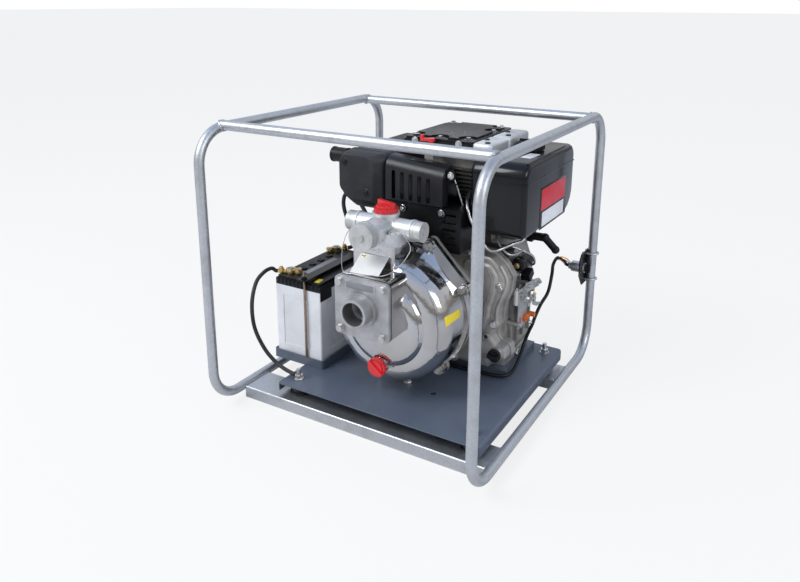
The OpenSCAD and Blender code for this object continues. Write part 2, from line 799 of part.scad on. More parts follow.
// Check flap that hangs from its pin behind the suction port
module suction_flap() {
    color(steel) difference() {
        union() {
            rod_y(port_x, cover_back_y + seat, port_z, flap_d / 2, flap_t);
            translate([port_x - 8, cover_back_y + seat + flap_t - 0.5, port_z]) cube([16, 4,
                flap_pin_z - port_z]);
            rod_x(port_x - 11, flap_pin_y, flap_pin_z, 6, 22);
            rod_x(port_x - 22, flap_pin_y, flap_pin_z, flap_pin_r, 44);
            rod_y(port_x, cover_back_y + seat + flap_t - 0.5, port_z, 9, 8);
        }
        translate([port_x - 12.5, cover_back_y - 1, flap_pin_z - 8]) cube([25, 1 + seat / 2, 16]);
    }
}

// Plate that closes the casing, with the bell that carries it on the engine
module back_plate() {
    color(cast_grey) difference() {
        union() {
            translate([drum_x, plate_back_y, axis_z]) rotate([90, 0, 0])
                linear_extrude(back_plate_t) flange_outline(drum_r + flange_rim);
            rod_y(axis_x, plate_back_y - 1, axis_z, bell_r, adapter_len - seat + 1);
            rod_y(axis_x, engine_front - 12 - seat, axis_z, bell_bolt_r + 12, 12);
        }
        rod_y(axis_x, plate_back_y + 4, axis_z, bell_r - 10, adapter_len);
        rod_y(axis_x, plate_front_y - 1, axis_z, pump_shaft_r + run_gap, 30);
        at_lugs(plate_front_y - 1) rotate([-90, 0, 0]) cylinder(h = 30, r = casing_bolt_r + run_gap);
        adapter_bolt_places(plate_back_y) rotate([-90, 0, 0]) cylinder(h = adapter_len + 1,
            r = casing_bolt_r + run_gap);
        for (side = [-1, 1]) translate([axis_x + side * bell_r, engine_front - 38, axis_z])
            cube([60, 36, 50], center = true);
    }
}

// Four bolts of the bell on the gear case
module adapter_bolt_places(y) {
    for (turn = [45:90:315])
        translate([axis_x + bell_bolt_r * cos(turn), y, axis_z + bell_bolt_r * sin(turn)]) children();
}

// Bolts of the casing, of the bell and of the outlet flange
module pump_bolts() {
    color(steel) {
        at_lugs(flange_front_y - 8) bolt_y(0, 0, 0, casing_bolt_d, 8 + flange_t + back_plate_t);
        adapter_bolt_places(engine_front - 12 - seat) bolt_y(0, 0, 0, casing_bolt_d, 26);
        for (p = pad_bolts) bolt_z(p[0], p[1], pad_top, pad_bolt_d, pad_t + 15);
    }
}

// Disc with curved vanes on the hub; it turns with the crankshaft
module impeller() {
    wheel_r = 92;
    vane_count = 6;
    front = impeller_y;
    rear = plate_front_y - 6;
    depth = rear - front;
    color(brass_tone) translate([axis_x, rear, axis_z]) rotate([90, 0, 0]) difference() {
        union() {
            cylinder(h = 6, r = wheel_r);
            cylinder(h = depth * 0.7, r = 24);
            intersection() {
                cylinder(h = depth * 0.6, r = wheel_r);
                for (k = [1:vane_count]) rotate(k * 360 / vane_count) translate([50, 0, 0]) difference() {
                    cylinder(h = depth * 0.6, r = 54);
                    translate([0, 0, -1]) cylinder(h = depth, r = 50);
                    translate([-60, -60, -1]) cube([120, 60, depth]);
                }
            }
        }
        translate([0, 0, -1]) cylinder(h = depth * 0.6, r = pump_shaft_r + run_gap);
    }
}

// Outlet block and its caps
neck_top = outlet_z + 31;
side_thread_r = side_thread_d / 2;
front_thread_r = front_thread_d / 2;
cap_end = 4;
shoulder = cap_len - cap_end + seat;
neck_bore = 20;

// Block with two side outlets, one front outlet and the priming neck on top
module outlet_manifold() {
    side_body = 21;
    front_body = 27;
    color([0.82, 0.82, 0.81]) difference() {
        union() {
            translate([riser_x, riser_y, riser_top]) linear_extrude(pad_t) rounded(pad_w, pad_w, 24);
            rod_x(riser_x - side_reach + shoulder, riser_y, outlet_z, side_body, 2 * (side_reach - shoulder));
            rod_x(riser_x - side_reach, riser_y, outlet_z, side_thread_r, 2 * side_reach);
            for (s = [-1, 1]) rod_x(riser_x + s * (side_reach - shoulder - 2.5) - 2.5, riser_y,
                outlet_z, side_body + 2, 5);
            rod_y(riser_x, riser_y - front_reach, outlet_z, front_thread_r, front_reach);
            rod_y(riser_x, riser_y - front_reach + shoulder, outlet_z, front_body, front_reach - shoulder);
            rod_y(riser_x, riser_y - front_reach + shoulder, outlet_z, front_body + 2, 5);
            translate([riser_x, riser_y, outlet_z]) sphere(30);
            translate([riser_x, riser_y, riser_top + 1]) cylinder(h = neck_top - riser_top - 1, r = 27);
            translate([riser_x, riser_y, neck_top - 5]) cylinder(h = 5, r = 29);
        }
        rod_x(riser_x - side_reach - 1, riser_y, outlet_z, side_thread_r - 4, 2 * side_reach + 2);
        rod_y(riser_x, riser_y - front_reach - 1, outlet_z, front_thread_r - 5, front_reach + 1);
        translate([riser_x, riser_y, outlet_z]) cylinder(h = 40, r = neck_bore);
        translate([riser_x, riser_y, riser_top - 1]) cylinder(h = outlet_rise + 5, r = 24);
        for (p = pad_bolts) translate([p[0], p[1], riser_top - 1]) cylinder(h = pad_t + 2,
            r = pad_bolt_d / 2 + run_gap);
    }
}

// Screw cap, open at its foot, with a turned rim and a raised middle
module outlet_cap(thread_r) {
    outer = thread_r + thread_gap + cap_wall;
    difference() {
        union() {
            cylinder(h = cap_len, r = outer);
            cylinder(h = 6, r = outer + 0.8);
            translate([0, 0, cap_len - 1]) cylinder(h = 4, r = 7);
        }
        translate([0, 0, -1]) cylinder(h = cap_len - cap_end + 1, r = thread_r + thread_gap);
    }
}

module front_outlet_cap() {
    color(cast_grey) translate([riser_x, riser_y - front_reach + shoulder - seat, outlet_z])
        rotate([90, 0, 0])
        outlet_cap(front_thread_r);
}

module left_outlet_cap() {
    color(cast_grey) translate([riser_x - side_reach + shoulder - seat, riser_y, outlet_z]) rotate([0,
        -90, 0])
        outlet_cap(side_thread_r);
}

module right_outlet_cap() {
    color(cast_grey) translate([riser_x + side_reach - shoulder + seat, riser_y, outlet_z]) rotate([0, 90, 0])
        outlet_cap(side_thread_r);
}

// Plastic screw plug: a knurled head with a grip bar and a shank in its bore
module screw_plug(head_d, shank_r, shank_len, bar_h) {
    head_h = 9;
    difference() {
        union() {
            cylinder(h = head_h, r = head_d / 2);
            translate([-head_d / 2 + 2, -4, head_h - 0.01]) cube([head_d - 4, 8, bar_h]);
            translate([0, 0, head_h - 0.01]) cylinder(h = bar_h * 0.4, r = head_d / 2 - 5);
            translate([0, 0, -shank_len]) cylinder(h = shank_len + 0.01, r = shank_r);
        }
        for (turn = [0:15:345]) rotate(turn) translate([head_d / 2 + 1, 0, -1])
            cylinder(h = head_h + 2, r = 2);
    }
}

module priming_plug() {
    color(red_plastic) translate([riser_x, riser_y, neck_top + seat]) rotate(-20)
        screw_plug(plug_d, neck_bore - run_gap, 14, 13);
}

module drain_plug() {
    color(red_plastic) translate([drain_x, drum_front_y - 19 - seat, drain_z]) rotate([90, 0, 0]) rotate(-40)
        screw_plug(drain_d, drain_bore - run_gap, 16, 6);
}

module cap_wire() {
    stops = [[riser_x - side_reach + 30, riser_y - 22, outlet_z - 4], [-58, -180, 418], [-52, -210, 390],
        [-22, -252, 362], [4, -252, 359], [34, -246, 360], [56, -222, 356], [70, -190, 366], [80, -160, 396],
        [riser_x + side_reach - 30, riser_y - 21.5, outlet_z - 6]];
    color(steel) cord(route(stops, 5), 0.8);
}

// Outline of the crankcase seen from the front
module case_outline(r, left, right, low, high) {
    intersection() {
        translate([axis_x + 10, axis_z - 10]) circle(r);
        translate([axis_x - left, low]) square([left + right, high - low]);
    }
}

block_top = axis_z + 105;

// Crankcase with its feet, the cylinder seat and ribs on its right side
module crankcase() {
    color(cast_grey) difference() {
        union() {
            translate([axis_x - foot_left, foot_y[0], foot_z])
                cube([foot_left + foot_right, foot_y[1] - foot_y[0], foot_t]);
            translate([0, block_rear, 0]) rotate([90, 0, 0]) linear_extrude(crankcase_d - seat)
                case_outline(188, 125, block_right, foot_z + foot_t - 2, block_top);
            translate([0, case_rear + seat + 9, 0]) rotate([90, 0, 0]) linear_extrude(9)
                case_outline(200, 134, 201, foot_z + 7, block_top);
            for (p = governor_posts) rod_x(axis_x + block_right - 8, p[0], p[1], 6,
                governor_x - seat - axis_x - block_right + 8);
            rod_x(axis_x + block_right - 30, case_rear + 42, axis_z + 38, 14, 44);
            rod_x(axis_x + block_right + 10, case_rear + 42, axis_z + 38, 17, 8);
            translate([axis_x - 70, cylinder_y - 75, block_top - 1]) cube([140, 150,
                cylinder_z - block_top + 1 - seat]);
            for (k = [0:4]) translate([axis_x + block_right - 1, case_rear + 76 + k * 22, axis_z - 84])
                cube([5, 5, 108 - 8 * k]);
        }
        rod_y(axis_x, 0, axis_z, crank_d / 2 + run_gap, block_rear + 10);
        foot_bolt_places() translate([0, 0, foot_z - 1]) cylinder(h = foot_t + 2, r = foot_bolt_d / 2 + 0.5);
        for (x = [axis_x - foot_left + foot_bolt_inset, axis_x + foot_right - foot_bolt_inset],
             y = [foot_y[0] + foot_bolt_inset, foot_y[1] - foot_bolt_inset])
            translate([x - 16, y - 16, foot_z + foot_t]) cube([32, 32, 26]);
        gear_bolt_places(case_rear - 1) rotate([-90, 0, 0]) cylinder(h = 20, r = 4 + run_gap);
        rod_x(axis_x + foot_right - 20, drain_bolt_y, foot_z + foot_t / 2, 4 + run_gap, 21);
        translate([filter_x, filter_y, block_top - 10]) cylinder(h = 12, r = 6 + run_gap);
    }
}

block_right = 160;
governor_x = axis_x + 186 + seat;
speed_y = case_rear + 51;
speed_z = axis_z - 50;
governor_posts = [[speed_y - 30, speed_z + 66], [speed_y - 30, speed_z - 6]];
drain_bolt_y = case_rear + 75;
filter_x = axis_x + 150;
filter_y = case_rear + 22;

// Screws round the gear case cover
module gear_bolt_places(y) {
    for (p = [[190, 52], [142, -125], [54.6, -142], [89.6, 109], [-62, 106], [-118, 30], [-118, -60]])
        translate([axis_x + p[0], y, axis_z + p[1]]) children();
}

// Cover over the timing gears; the bell of the pump bolts to it
module gear_case_cover() {
    color(cast_grey) difference() {
        union() {
            translate([0, case_rear, 0]) rotate([90, 0, 0]) linear_extrude(10)
                case_outline(200, 135, 202, foot_z + 6, axis_z + 121);
            translate([0, case_rear - 9, 0]) rotate([90, 0, 0]) linear_extrude(gear_case_t - 9)
                case_outline(190, 126, 192, foot_z + 14, axis_z + 112);
            gear_bolt_places(engine_front) rotate([-90, 0, 0]) cylinder(h = 34, r = 11);
            rod_y(filler_x, engine_front - 8, filler_z, 14, 20);
        }
        rod_y(axis_x, 0, axis_z, 40, 60);
        gear_bolt_places(0) rotate([-90, 0, 0]) cylinder(h = 60, r = 4 + run_gap);
        adapter_bolt_places(engine_front - 1) rotate([-90, 0, 0]) cylinder(h = 20,
            r = casing_bolt_r + run_gap);
        rod_y(filler_x, engine_front - 9, filler_z, 8 + run_gap, 20);
    }
}

filler_x = axis_x + 161;
filler_z = axis_z - 107;

module oil_filler_cap() {
    color(black_paint) translate([filler_x, engine_front - 8 - seat, filler_z]) rotate([90, 0, 0])
        screw_plug(30, 8, 12, 8);
}

// Foot bolts, gear case screws and the oil drain bolt
module engine_bolts() {
    color(steel) {
        foot_bolt_places() bolt_z(0, 0, foot_z + foot_t, foot_bolt_d, foot_t + ring_h + plate_t + 12);
        foot_bolt_places() translate([0, 0, plate_top - plate_t - 8]) hexagon(9.5, 8);
        gear_bolt_places(engine_front) bolt_y(0, 0, 0, 8, gear_case_t + 12);
        translate([axis_x + foot_right, drain_bolt_y, foot_z + foot_t / 2]) rotate([0, 90, 0])
            bolt_z(0, 0, 0, 8, 16);
    }
}

// Crankshaft with its pump end and the flywheel
module crankshaft() {
    pump_end = plate_front_y - 52;
    wheel_y = block_rear + 12;
    color(steel) {
        rod_y(axis_x, engine_front + 15, axis_z, crank_d / 2, wheel_y - engine_front - 14);
        rod_y(axis_x, pump_end, axis_z, pump_shaft_r, engine_front + 16 - pump_end);
        rod_y(axis_x, wheel_y, axis_z, flywheel_r, 26);
        rod_y(axis_x, wheel_y + 20, axis_z, 30, 18);
    }
}

// Finned barrel on the crankcase
module cylinder_barrel() {
    color([0.45, 0.45, 0.45]) {
        translate([cylinder_x - 42, cylinder_y - 55, cylinder_z]) cube([84, 110, head_z - cylinder_z - seat]);
        for (k = [0:fin_count - 1]) translate([cylinder_x, cylinder_y, cylinder_z + 5 + k * fin_pitch])
            linear_extrude(fin_t) rounded(fin_w, 140, 16);
    }
}

// Head with its ports, the lever's boss and the cast covers on top
module cylinder_head() {
    y = [cylinder_y - 70, cylinder_y + 70];
    casting_x = guard_x[0] + top_cover_w + 4;
    casting_w = tank_cap_x - tank_cap_d / 2 - 5.3 - casting_x;
    color([0.6, 0.6, 0.59]) difference() {
        union() {
            translate([cylinder_x - 60, y[0], head_z]) cube([120, y[1] - y[0], head_h]);
            for (k = [0:4]) translate([cylinder_x, cylinder_y, head_z + 4 + k * fin_pitch])
                linear_extrude(fin_t) rounded(fin_w, 140, 16);
            translate([cylinder_x, cylinder_y - 50, head_top - 1]) cube([40, 100,
                shelf_z + shelf_t - head_top + 1]);
            translate([cylinder_x + 20, engine_front + 9, shelf_z])
                cube([casting_x + casting_w - cylinder_x - 20, 211, shelf_t]);
            for (span = [[14, 91], [113, 112]]) translate([casting_x, span[0], shelf_z]) difference() {
                linear_extrude(25) translate([casting_w / 2, span[1] / 2]) rounded(casting_w, span[1], 8);
                translate([6, 6, 18]) cube([casting_w - 12, span[1] - 12, 8]);
            }
            for (sy = [-1, 1]) translate([cylinder_x - 40, cylinder_y + sy * 50, head_z + head_h - 1])
                cylinder(h = top_cover_z + 14 - seat - head_z - head_h, r = 7);
            translate([lever_x - 9, lever_y - 9, head_z + head_h - 12]) cube([18, y[0] - lever_y + 10, 12]);
            rod_x(cleaner_right + 8, cylinder_y + 10, head_z + 50, 22, cylinder_x - 58 - cleaner_right - 8);
        }
        translate([lever_x, lever_y, 0]) cylinder(h = 900, r = 4 + run_gap);
    }
}

lever_x = 34;
lever_y = 8;

// Small red lever that turns on an upright spindle
module decompression_lever() {
    top = top_cover_z + 18;
    color(red_plastic) translate([lever_x, lever_y, 0]) {
        translate([0, 0, head_z + head_h - 11]) cylinder(h = top + 4 - head_z - head_h + 11, r = 4);
        translate([0, 0, top]) cylinder(h = 7, r = 8);
        translate([-26, -4, top]) cube([26, 8, 6]);
        translate([-26, -4, top]) cube([6, 8, 13]);
    }
}

muffler_y = guard_y + 50;
muffler_z = guard_z + 42;

// Silencer can with its port pipe to the head and its tail pipe
module muffler() {
    x = (guard_x[0] + guard_x[1]) / 2;
    color([0.2, 0.18, 0.17]) translate([x, muffler_y, muffler_z]) {
        rotate([90, 0, 0]) linear_extrude(70, center = true) rounded(120, 60, 26);
        rod_y(20, 30, -6, 17, cylinder_y - 70 - seat - 30 - muffler_y);
        rod_x(50, -8, -10, 13, 32);
    }
}

// Slotted sheet in front of the silencer, folded back at its top
module muffler_guard() {
    slope = atan(guard_drop / guard_w);
    function x_drop(x) = guard_drop * (x - guard_x[0]) / guard_w;
    top = guard_z + guard_h;
    slot_low = guard_z + 8;
    first = (guard_x[0] + guard_x[1]) / 2 - 6 - slot_pitch * (slot_count - 1) / 2;
    color(black_paint) difference() {
        union() {
            translate([0, guard_y + sheet_t, 0]) rotate([90, 0, 0]) linear_extrude(sheet_t)
                polygon([[guard_x[0], guard_z], [guard_x[1], guard_z], [guard_x[1], top - guard_drop],
                    [guard_x[0], top]]);
            for (x = [guard_x[0], guard_x[1] - sheet_t]) translate([x, guard_y, guard_z])
                cube([sheet_t, 60, guard_h - guard_drop]);
            translate([guard_x[0], 0, top]) rotate([0, slope, 0]) side_on(0)
                linear_extrude(guard_w / cos(slope))
                polygon([[guard_y + 0.2, -2], [guard_y + sheet_t - 0.2, -3], [guard_y + 26, 18],
                    [guard_y + 42, 19],
                    [guard_y + 42, 21], [guard_y + 25, 20]]);
        }
        for (k = [0:slot_count - 1]) let (x = first + k * slot_pitch, high = top - 12 - x_drop(x)) {
            translate([x, guard_y - 1, slot_low]) cube([slot_w, sheet_t + 2, high - slot_low]);
            rod_y(x + slot_w / 2, guard_y - 1, slot_low, slot_w / 2 - 0.02, sheet_t + 2);
            rod_y(x + slot_w / 2, guard_y - 1, high, slot_w / 2 - 0.02, sheet_t + 2);
        }
        rod_x(guard_x[1] - 6, muffler_y - 8, muffler_z - 10, 15, 12);
    }
}

// Pressed cover over the head and the silencer
module muffler_top_cover() {
    x = guard_x[0] + 2;
    y = engine_front + 14;
    height = 22;
    module shape(inset, low, h) {
        translate([x + top_cover_w / 2, y + top_cover_d / 2, low]) linear_extrude(h)
            rounded(top_cover_w - 2 * inset, top_cover_d - 2 * inset, 14 - inset);
    }
    color(black_paint) difference() {
        union() {
            shape(0, top_cover_z, height - 5);
            shape(5, top_cover_z + height - 6, 6);
            difference() {
                shape(14, top_cover_z + height - 1, 5);
                cover_screw_places(x, y, height) cylinder(h = 6, r = 21);
            }
            cover_screw_places(x, y, height - 1) cylinder(h = 3, r = 7);
        }
        shape(3, top_cover_z - 1, height - 8);
    }
}

// Screws of the top cover, each in its round recess
module cover_screw_places(x, y, height) {
    for (p = [[24, 26], [top_cover_w / 2, 18], [top_cover_w - 26, 30], [26, top_cover_d - 26],
        [top_cover_w - 24, top_cover_d - 26], [top_cover_w - 20, top_cover_d - 80]])
        translate([x + p[0], y + p[1], top_cover_z + height]) children();
}

// Box of the air cleaner with its lid screwed to its front
module air_cleaner() {
    left = cleaner_right - cleaner_w;
    top = cleaner_z + cleaner_h;
    cut = [34, 38];
    module face(inset) {
        polygon([[left + inset, cleaner_z + cut[1] + inset / 2], [left + cut[0] + inset / 2,
            cleaner_z + inset],
            [cleaner_right - inset, cleaner_z + inset], [cleaner_right - inset, top - 8 - inset],
            [cleaner_right - 8 - inset, top - inset], [left + 14 + inset, top - inset], [left + inset,
                top - 14 - inset]]);
    }
    color(black_paint) difference() {
        union() {
            translate([0, cleaner_y + cleaner_d, 0]) rotate([90, 0, 0]) linear_extrude(cleaner_d - 6) face(0);
            translate([0, cleaner_y + 9, 0]) rotate([90, 0, 0]) linear_extrude(9) face(5);
            translate([0, cleaner_y + 52, 0]) rotate([90, 0, 0]) linear_extrude(5) face(-cleaner_rim);
            rod_x(left - 20, cleaner_y + 44, top - 22, 13, 40);
            for (p = [[22, 104], [78, 40]]) rod_y(left + p[0], cleaner_y - 3, cleaner_z + p[1], 6, 10);
        }
        rod_x(left - 21, cleaner_y + 44, top - 22, 10, 35);
        rod_x(cleaner_right - 30, cylinder_y + 10, head_z + 50, 22 + seat, 60);
    }
}

// Cowl over the fins, with its louvres and screws
module fan_shroud() {
    x = [guard_x[0], axis_x + 90];
    low = axis_z + 125;
    high = guard_z - 2;
    color(black_paint) difference() {
        union() {
            translate([x[0], guard_y, low]) cube([x[1] - x[0], sheet_t, high - low]);
            for (px = [x[0], x[1] - sheet_t]) translate([px, guard_y, low]) cube([sheet_t,
                cylinder_y - 74 - guard_y, high - low]);
            for (p = [[axis_x - 51, high - 12], [axis_x + 44, high - 13]]) bolt_y(p[0], guard_y, p[1], 8, 8);
        }
        for (k = [0:4]) translate([x[1] - 42, guard_y - 1, low + 16 + k * 16]) cube([30, sheet_t + 2, 5]);
    }
}

// Tank shape drawn in by an inset on every side
module tank_shape(inset) {
    w = tank_w - 2 * inset;
    d = tank_d - 2 * inset;
    h = tank_h - 2 * inset;
    translate([tank_left + tank_w / 2, tank_front + tank_d / 2, tank_z + tank_h / 2]) intersection() {
        rotate([90, 0, 90]) linear_extrude(w, center = true) rounded(d, h, tank_r - inset);
        rotate([90, 0, 0]) linear_extrude(d, center = true) rounded(w, h, 18 - inset);
        linear_extrude(h, center = true) rounded(w, d, 18 - inset);
    }
}

tank_cap_x = tank_left + tank_w * 0.55;
tank_cap_y = tank_front + tank_d * 0.54;
tank_neck_r = tank_cap_d / 2 - 6;

// Sheet tank, hollow, with its filler neck and the ridge of its seam
module fuel_tank() {
    color(black_paint) difference() {
        union() {
            tank_shape(0);
            translate([tank_cap_x, tank_cap_y, tank_z + tank_h - 6]) cylinder(h = 9, r = tank_neck_r + 3);
        }
        tank_shape(3);
        translate([tank_cap_x, tank_cap_y, tank_z + tank_h - 12]) cylinder(h = 30, r = tank_neck_r);
    }
}

module tank_cap() {
    top = tank_z + tank_h + 3 + seat;
    color(black_paint) translate([tank_cap_x, tank_cap_y, top]) difference() {
        union() {
            cylinder(h = 13, r = tank_cap_d / 2);
            cylinder(h = 16, r = tank_cap_d / 2 - 4);
            translate([0, 0, -14]) cylinder(h = 15, r = tank_neck_r - run_gap);
            translate([-tank_cap_d / 2 + 5, -4, 15]) cube([tank_cap_d - 10, 8, 5]);
        }
        for (turn = [0:20:340]) rotate(turn) translate([tank_cap_d / 2 + 1, 0, -1]) cylinder(h = 15, r = 2.4);
    }
}

// Shelf under the tank on its two legs
module tank_bracket() {
    leg_x = cylinder_x + fin_w / 2 + 3;
    shelf = [leg_x, cylinder_y - 70, tank_z - seat - 4];
    color(black_paint) {
        translate(shelf) cube([98, 178, 4]);
        for (y = [78, 176]) {
            translate([leg_x, y, block_top + seat]) cube([4, 34, shelf[2] - block_top - seat + 1]);
            translate([leg_x, y, block_top + seat]) cube([40, 34, 4]);
        }
    }
}

module fuel_return_pipe() {
    stops = [[tank_left + 98, 62, tank_z - seat], [tank_left + 98, 62, tank_z - 7], [tank_left + 97,
        54, tank_z - 20], [222, 30, 378], [200, 0, 369],
        [188, -22, 376], [172, -27, 400], [150, -24, 430], [139, -21, 456], [129, -4, 470], [116, 30, 477],
        [110, cylinder_y - 78, 479], [110, cylinder_y - 70 - seat, 479]];
    color(rubber_black) cord(route(stops, 5), 3.5);
}

module fuel_filter() {
    color(black_paint) translate([filter_x, filter_y, block_top + seat]) {
        cylinder(h = 12, r = 17);
        cylinder(h = 16, r = 11);
        translate([0, 0, -9]) cylinder(h = 10, r = 6);
    }
}

// Plate of the speed control on the ribs of the crankcase

module governor_plate() {
    color(black_paint) difference() {
        union() {
            translate([governor_x, speed_y - 38, speed_z - 14]) cube([3, 48, 96]);
            translate([governor_x, speed_y - 14, speed_z + 58]) cube([3, 52, 24]);
            for (p = governor_posts) rod_x(governor_x, p[0], p[1], 6, 7);
            translate([governor_x, speed_y - 6, speed_z + 40]) cube([14, 3, 12]);
            translate([governor_x, speed_y + 22, speed_z + 58]) cube([14, 3, 12]);
        }
        rod_x(governor_x - 1, speed_y, speed_z, 4 + run_gap, 10);
    }
}

lever_reach = 28;

module speed_lever() {
    color([0.85, 0.35, 0.08]) {
        rod_x(governor_x - 2, speed_y, speed_z, 4, 12);
        rod_x(governor_x + 3 + seat, speed_y, speed_z, 9, 4);
        translate([governor_x + 3 + seat, speed_y, speed_z - 5]) cube([4, lever_reach, 10]);
        rod_x(governor_x + 3 + seat, speed_y + lever_reach, speed_z, 6, 12);
    }
}

// Round blower housing with its rope guide and its rear cover
module recoil_housing() {
    front = block_rear + seat;
    wall = 8;
    color(black_paint) difference() {
        union() {
            rod_y(axis_x, front, axis_z, blower_r, blower_d);
            rod_y(axis_x, front, axis_z, blower_r + 4, 8);
            rod_y(axis_x, front + blower_d - 1, axis_z, 97, 22);
            rod_y(axis_x, front + blower_d - 1, axis_z, 86, 29);
            translate([axis_x + 70, front + 22, axis_z + 83]) cube([75, 26, 24]);
            rod_y(starter_x, front, starter_z, 40, 9);
            translate([starter_x, front, starter_z - 30]) cube([70, 9, 60]);
        }
        rod_y(axis_x, front + 4, axis_z, blower_r - wall, blower_d - 14);
        rod_y(axis_x, front - 1, axis_z, crank_d / 2 + 4, 8);
        for (turn = [0:30:330]) translate([axis_x + 62 * cos(turn), 0, axis_z + 62 * sin(turn)])
            rod_y(0, front + blower_d - 14, 0, 9, 60);
        rod_x(axis_x + 60, front + 35, axis_z + 95, 3, 90);
    }
}

starter_x = axis_x - 166;
starter_z = axis_z + 14;

// Electric starter with its solenoid on the left of the block
module starter_motor() {
    rear = block_rear;
    color(black_paint) {
        rod_y(starter_x, rear - 132, starter_z, 34, 132);
        rod_y(starter_x, rear - 142, starter_z, 24, 12);
        rod_y(starter_x + 2, rear - 92, starter_z + 54, 21, 78);
        translate([starter_x - 16, rear - 40, starter_z]) cube([32, 24, 54]);
        rod_y(starter_x + 2, rear - 104, starter_z + 62, 4, 14);
    }
}

// Grip of the starting rope; it pulls out to the right
module recoil_handle() {
    color(black_paint) translate([axis_x + 145 + seat, block_rear + seat + 35, axis_z + 95]) {
        rotate([0, 90, 0]) cylinder(h = 30, r = 10);
        translate([27, 0, 0]) sphere(11);
        translate([27, 0, 0]) rotate([0, 133, 0]) cylinder(h = 40, r = 9);
        translate([27, 0, 0]) rotate([0, 133, 0]) translate([0, 0, 38]) sphere(10);
    }
}

// Switch panel on the rear right post
plate_face = hoop_x - tube_d / 2 - seat;
panel_t = 2.5;
post_y = hoop_depth / 2;
ubolt_r = tube_d / 2 + 2.9;
switch_pos_y = switch_y + 27;

module switch_plate() {
    high = switch_z + 38;
    low = switch_z - 45;
    color(black_paint) difference() {
        side_on(plate_face - panel_t) linear_extrude(panel_t)
            polygon([[switch_y, switch_z - 14], [switch_y + 26, low], [post_y + 18, low], [post_y + 18, high],
                [switch_y + 12, high], [switch_y, high - 14]]);
        rod_x(plate_face - 9, switch_pos_y, switch_z, 8.05, 20);
        for (z = [low + 9, high - 8], s = [-1, 1]) rod_x(plate_face - 9, post_y + s * ubolt_r, z, 2.6, 20);
    }
    color(steel) for (z = [low + 9, high - 8]) {
        translate([hoop_x, post_y, z]) rotate([0, 0, -90]) rotate_extrude(angle = 180)
            translate([ubolt_r, 0]) circle(2.5);
        for (s = [-1, 1]) {
            rod_x(plate_face - panel_t - 8, post_y + s * ubolt_r, z, 2.5, hoop_x - plate_face + panel_t + 8);
            translate([plate_face - panel_t - 4.5, post_y + s * ubolt_r, z]) rotate([0, 90, 0])
                hexagon(5, 4.5);
        }
    }
}

// Barrel of the key switch through the plate, with its nut and rear terminals
module key_switch() {
    color(steel) difference() {
        union() {
            rod_x(plate_face - panel_t - 22, switch_pos_y, switch_z, 13, 22);
            rod_x(plate_face - panel_t - 1, switch_pos_y, switch_z, 8, 8);
            translate([plate_face, switch_pos_y, switch_z]) rotate([0, 90, 0]) hexagon(11, 3);
            rod_x(plate_face - panel_t - 32, switch_pos_y, switch_z, 9, 12);
        }
        rod_x(plate_face - 12, switch_pos_y, switch_z, 3 + run_gap, 20);
    }
}

module switch_knob() {
    start = plate_face + 4.5 + seat;
    color(black_paint) {
        rod_x(plate_face - 10, switch_pos_y, switch_z, 3, start - plate_face + 12);
        rod_x(start, switch_pos_y, switch_z, knob_d / 2, 6);
        translate([start + 5, switch_pos_y - 3, switch_z - knob_d / 2]) cube([8, 6, knob_d]);
    }
}

module switch_loom() {
    stops = [[plate_face - panel_t - 32 - seat, switch_pos_y, switch_z],
        [plate_face - panel_t - 39, switch_pos_y, switch_z], [250, 300, 262], [240, 286, 272],
        [238, 262, 262], [246, 232, 246], [248, 205, 212], [247, 160, 196], [245, 134, 176], [242, 124, 158],
        [235, 124, 140], [227, 120, 112], [229, 88, 90], [229, 40, 72], [208, 17, 68], [150, 14, 66],
            [60, 10, 66],
        [-40, 12, 66], [-100, 30, 72], [-118, 60, 110], [-124, 66, 180], [starter_x,
            block_rear - 146 - seat, starter_z - 6]];
    color(rubber_black) cord(route(stops, 3), 4);
}

// Cables from the battery to the plate stud and to the starter
module earth_cable() {
    stops = [clamp_end(negative_post, negative_turn, 0), clamp_end(negative_post, negative_turn, 5),
        [-303, -144, 277], [-302, -172, 276], [-298, -204, 262], [-291, -228, 222],
        [-289, -226, 164], [-276, -212, 110], [-250, -206, 80], [-218, -209, 70],
        [mount_x[0] - nut_r - 0.5, mount_y[0], plate_top + 7]];
    color(rubber_black) cord(route(stops, 4), 4.5);
}

module positive_cable() {
    stops = [clamp_end(positive_post, positive_turn, 0), clamp_end(positive_post, positive_turn, 5),
        [-243, 100, 271], [-240, 104, 281], [-239, 103, 294], [-240, 95, 322], [-252, 90, 352], [-261,
            91, 384],
        [-254, 92, 410], [-230, 94, 412], [-196, 92, 372], [-160, 80, 334], [-131, 77, 315],
        [starter_x + 1, 87, starter_z + 62], [starter_x + 2, 99, starter_z + 62],
        [starter_x + 2, block_rear - 104 - seat, starter_z + 62]];
    color(rubber_black) cord(route(stops, 4), 5);
}

left_hoop();
right_hoop();
front_top_rail();
rear_top_rail();
front_channel();
rear_channel();
rubber_mounts();
plate_studs();
base_plate();
battery_tray();
battery_case();
battery_lid();
battery_posts();
negative_clamp();
positive_clamp();
battery_hold_down();
earth_cable();
positive_cable();
pump_casing();
suction_gasket();
suction_cover();
suction_cover_bolts();
suction_flap();
back_plate();
pump_bolts();
impeller();
outlet_manifold();
front_outlet_cap();
left_outlet_cap();
right_outlet_cap();
priming_plug();
drain_plug();
cap_wire();
crankcase();
gear_case_cover();
engine_bolts();
crankshaft();
cylinder_barrel();
cylinder_head();
decompression_lever();
muffler();
muffler_guard();
muffler_top_cover();
air_cleaner();
fan_shroud();
fuel_tank();
tank_bracket();
tank_cap();
fuel_return_pipe();
fuel_filter();
governor_plate();
speed_lever();
recoil_housing();
recoil_handle();
starter_motor();
oil_filler_cap();
switch_plate();
key_switch();
switch_knob();
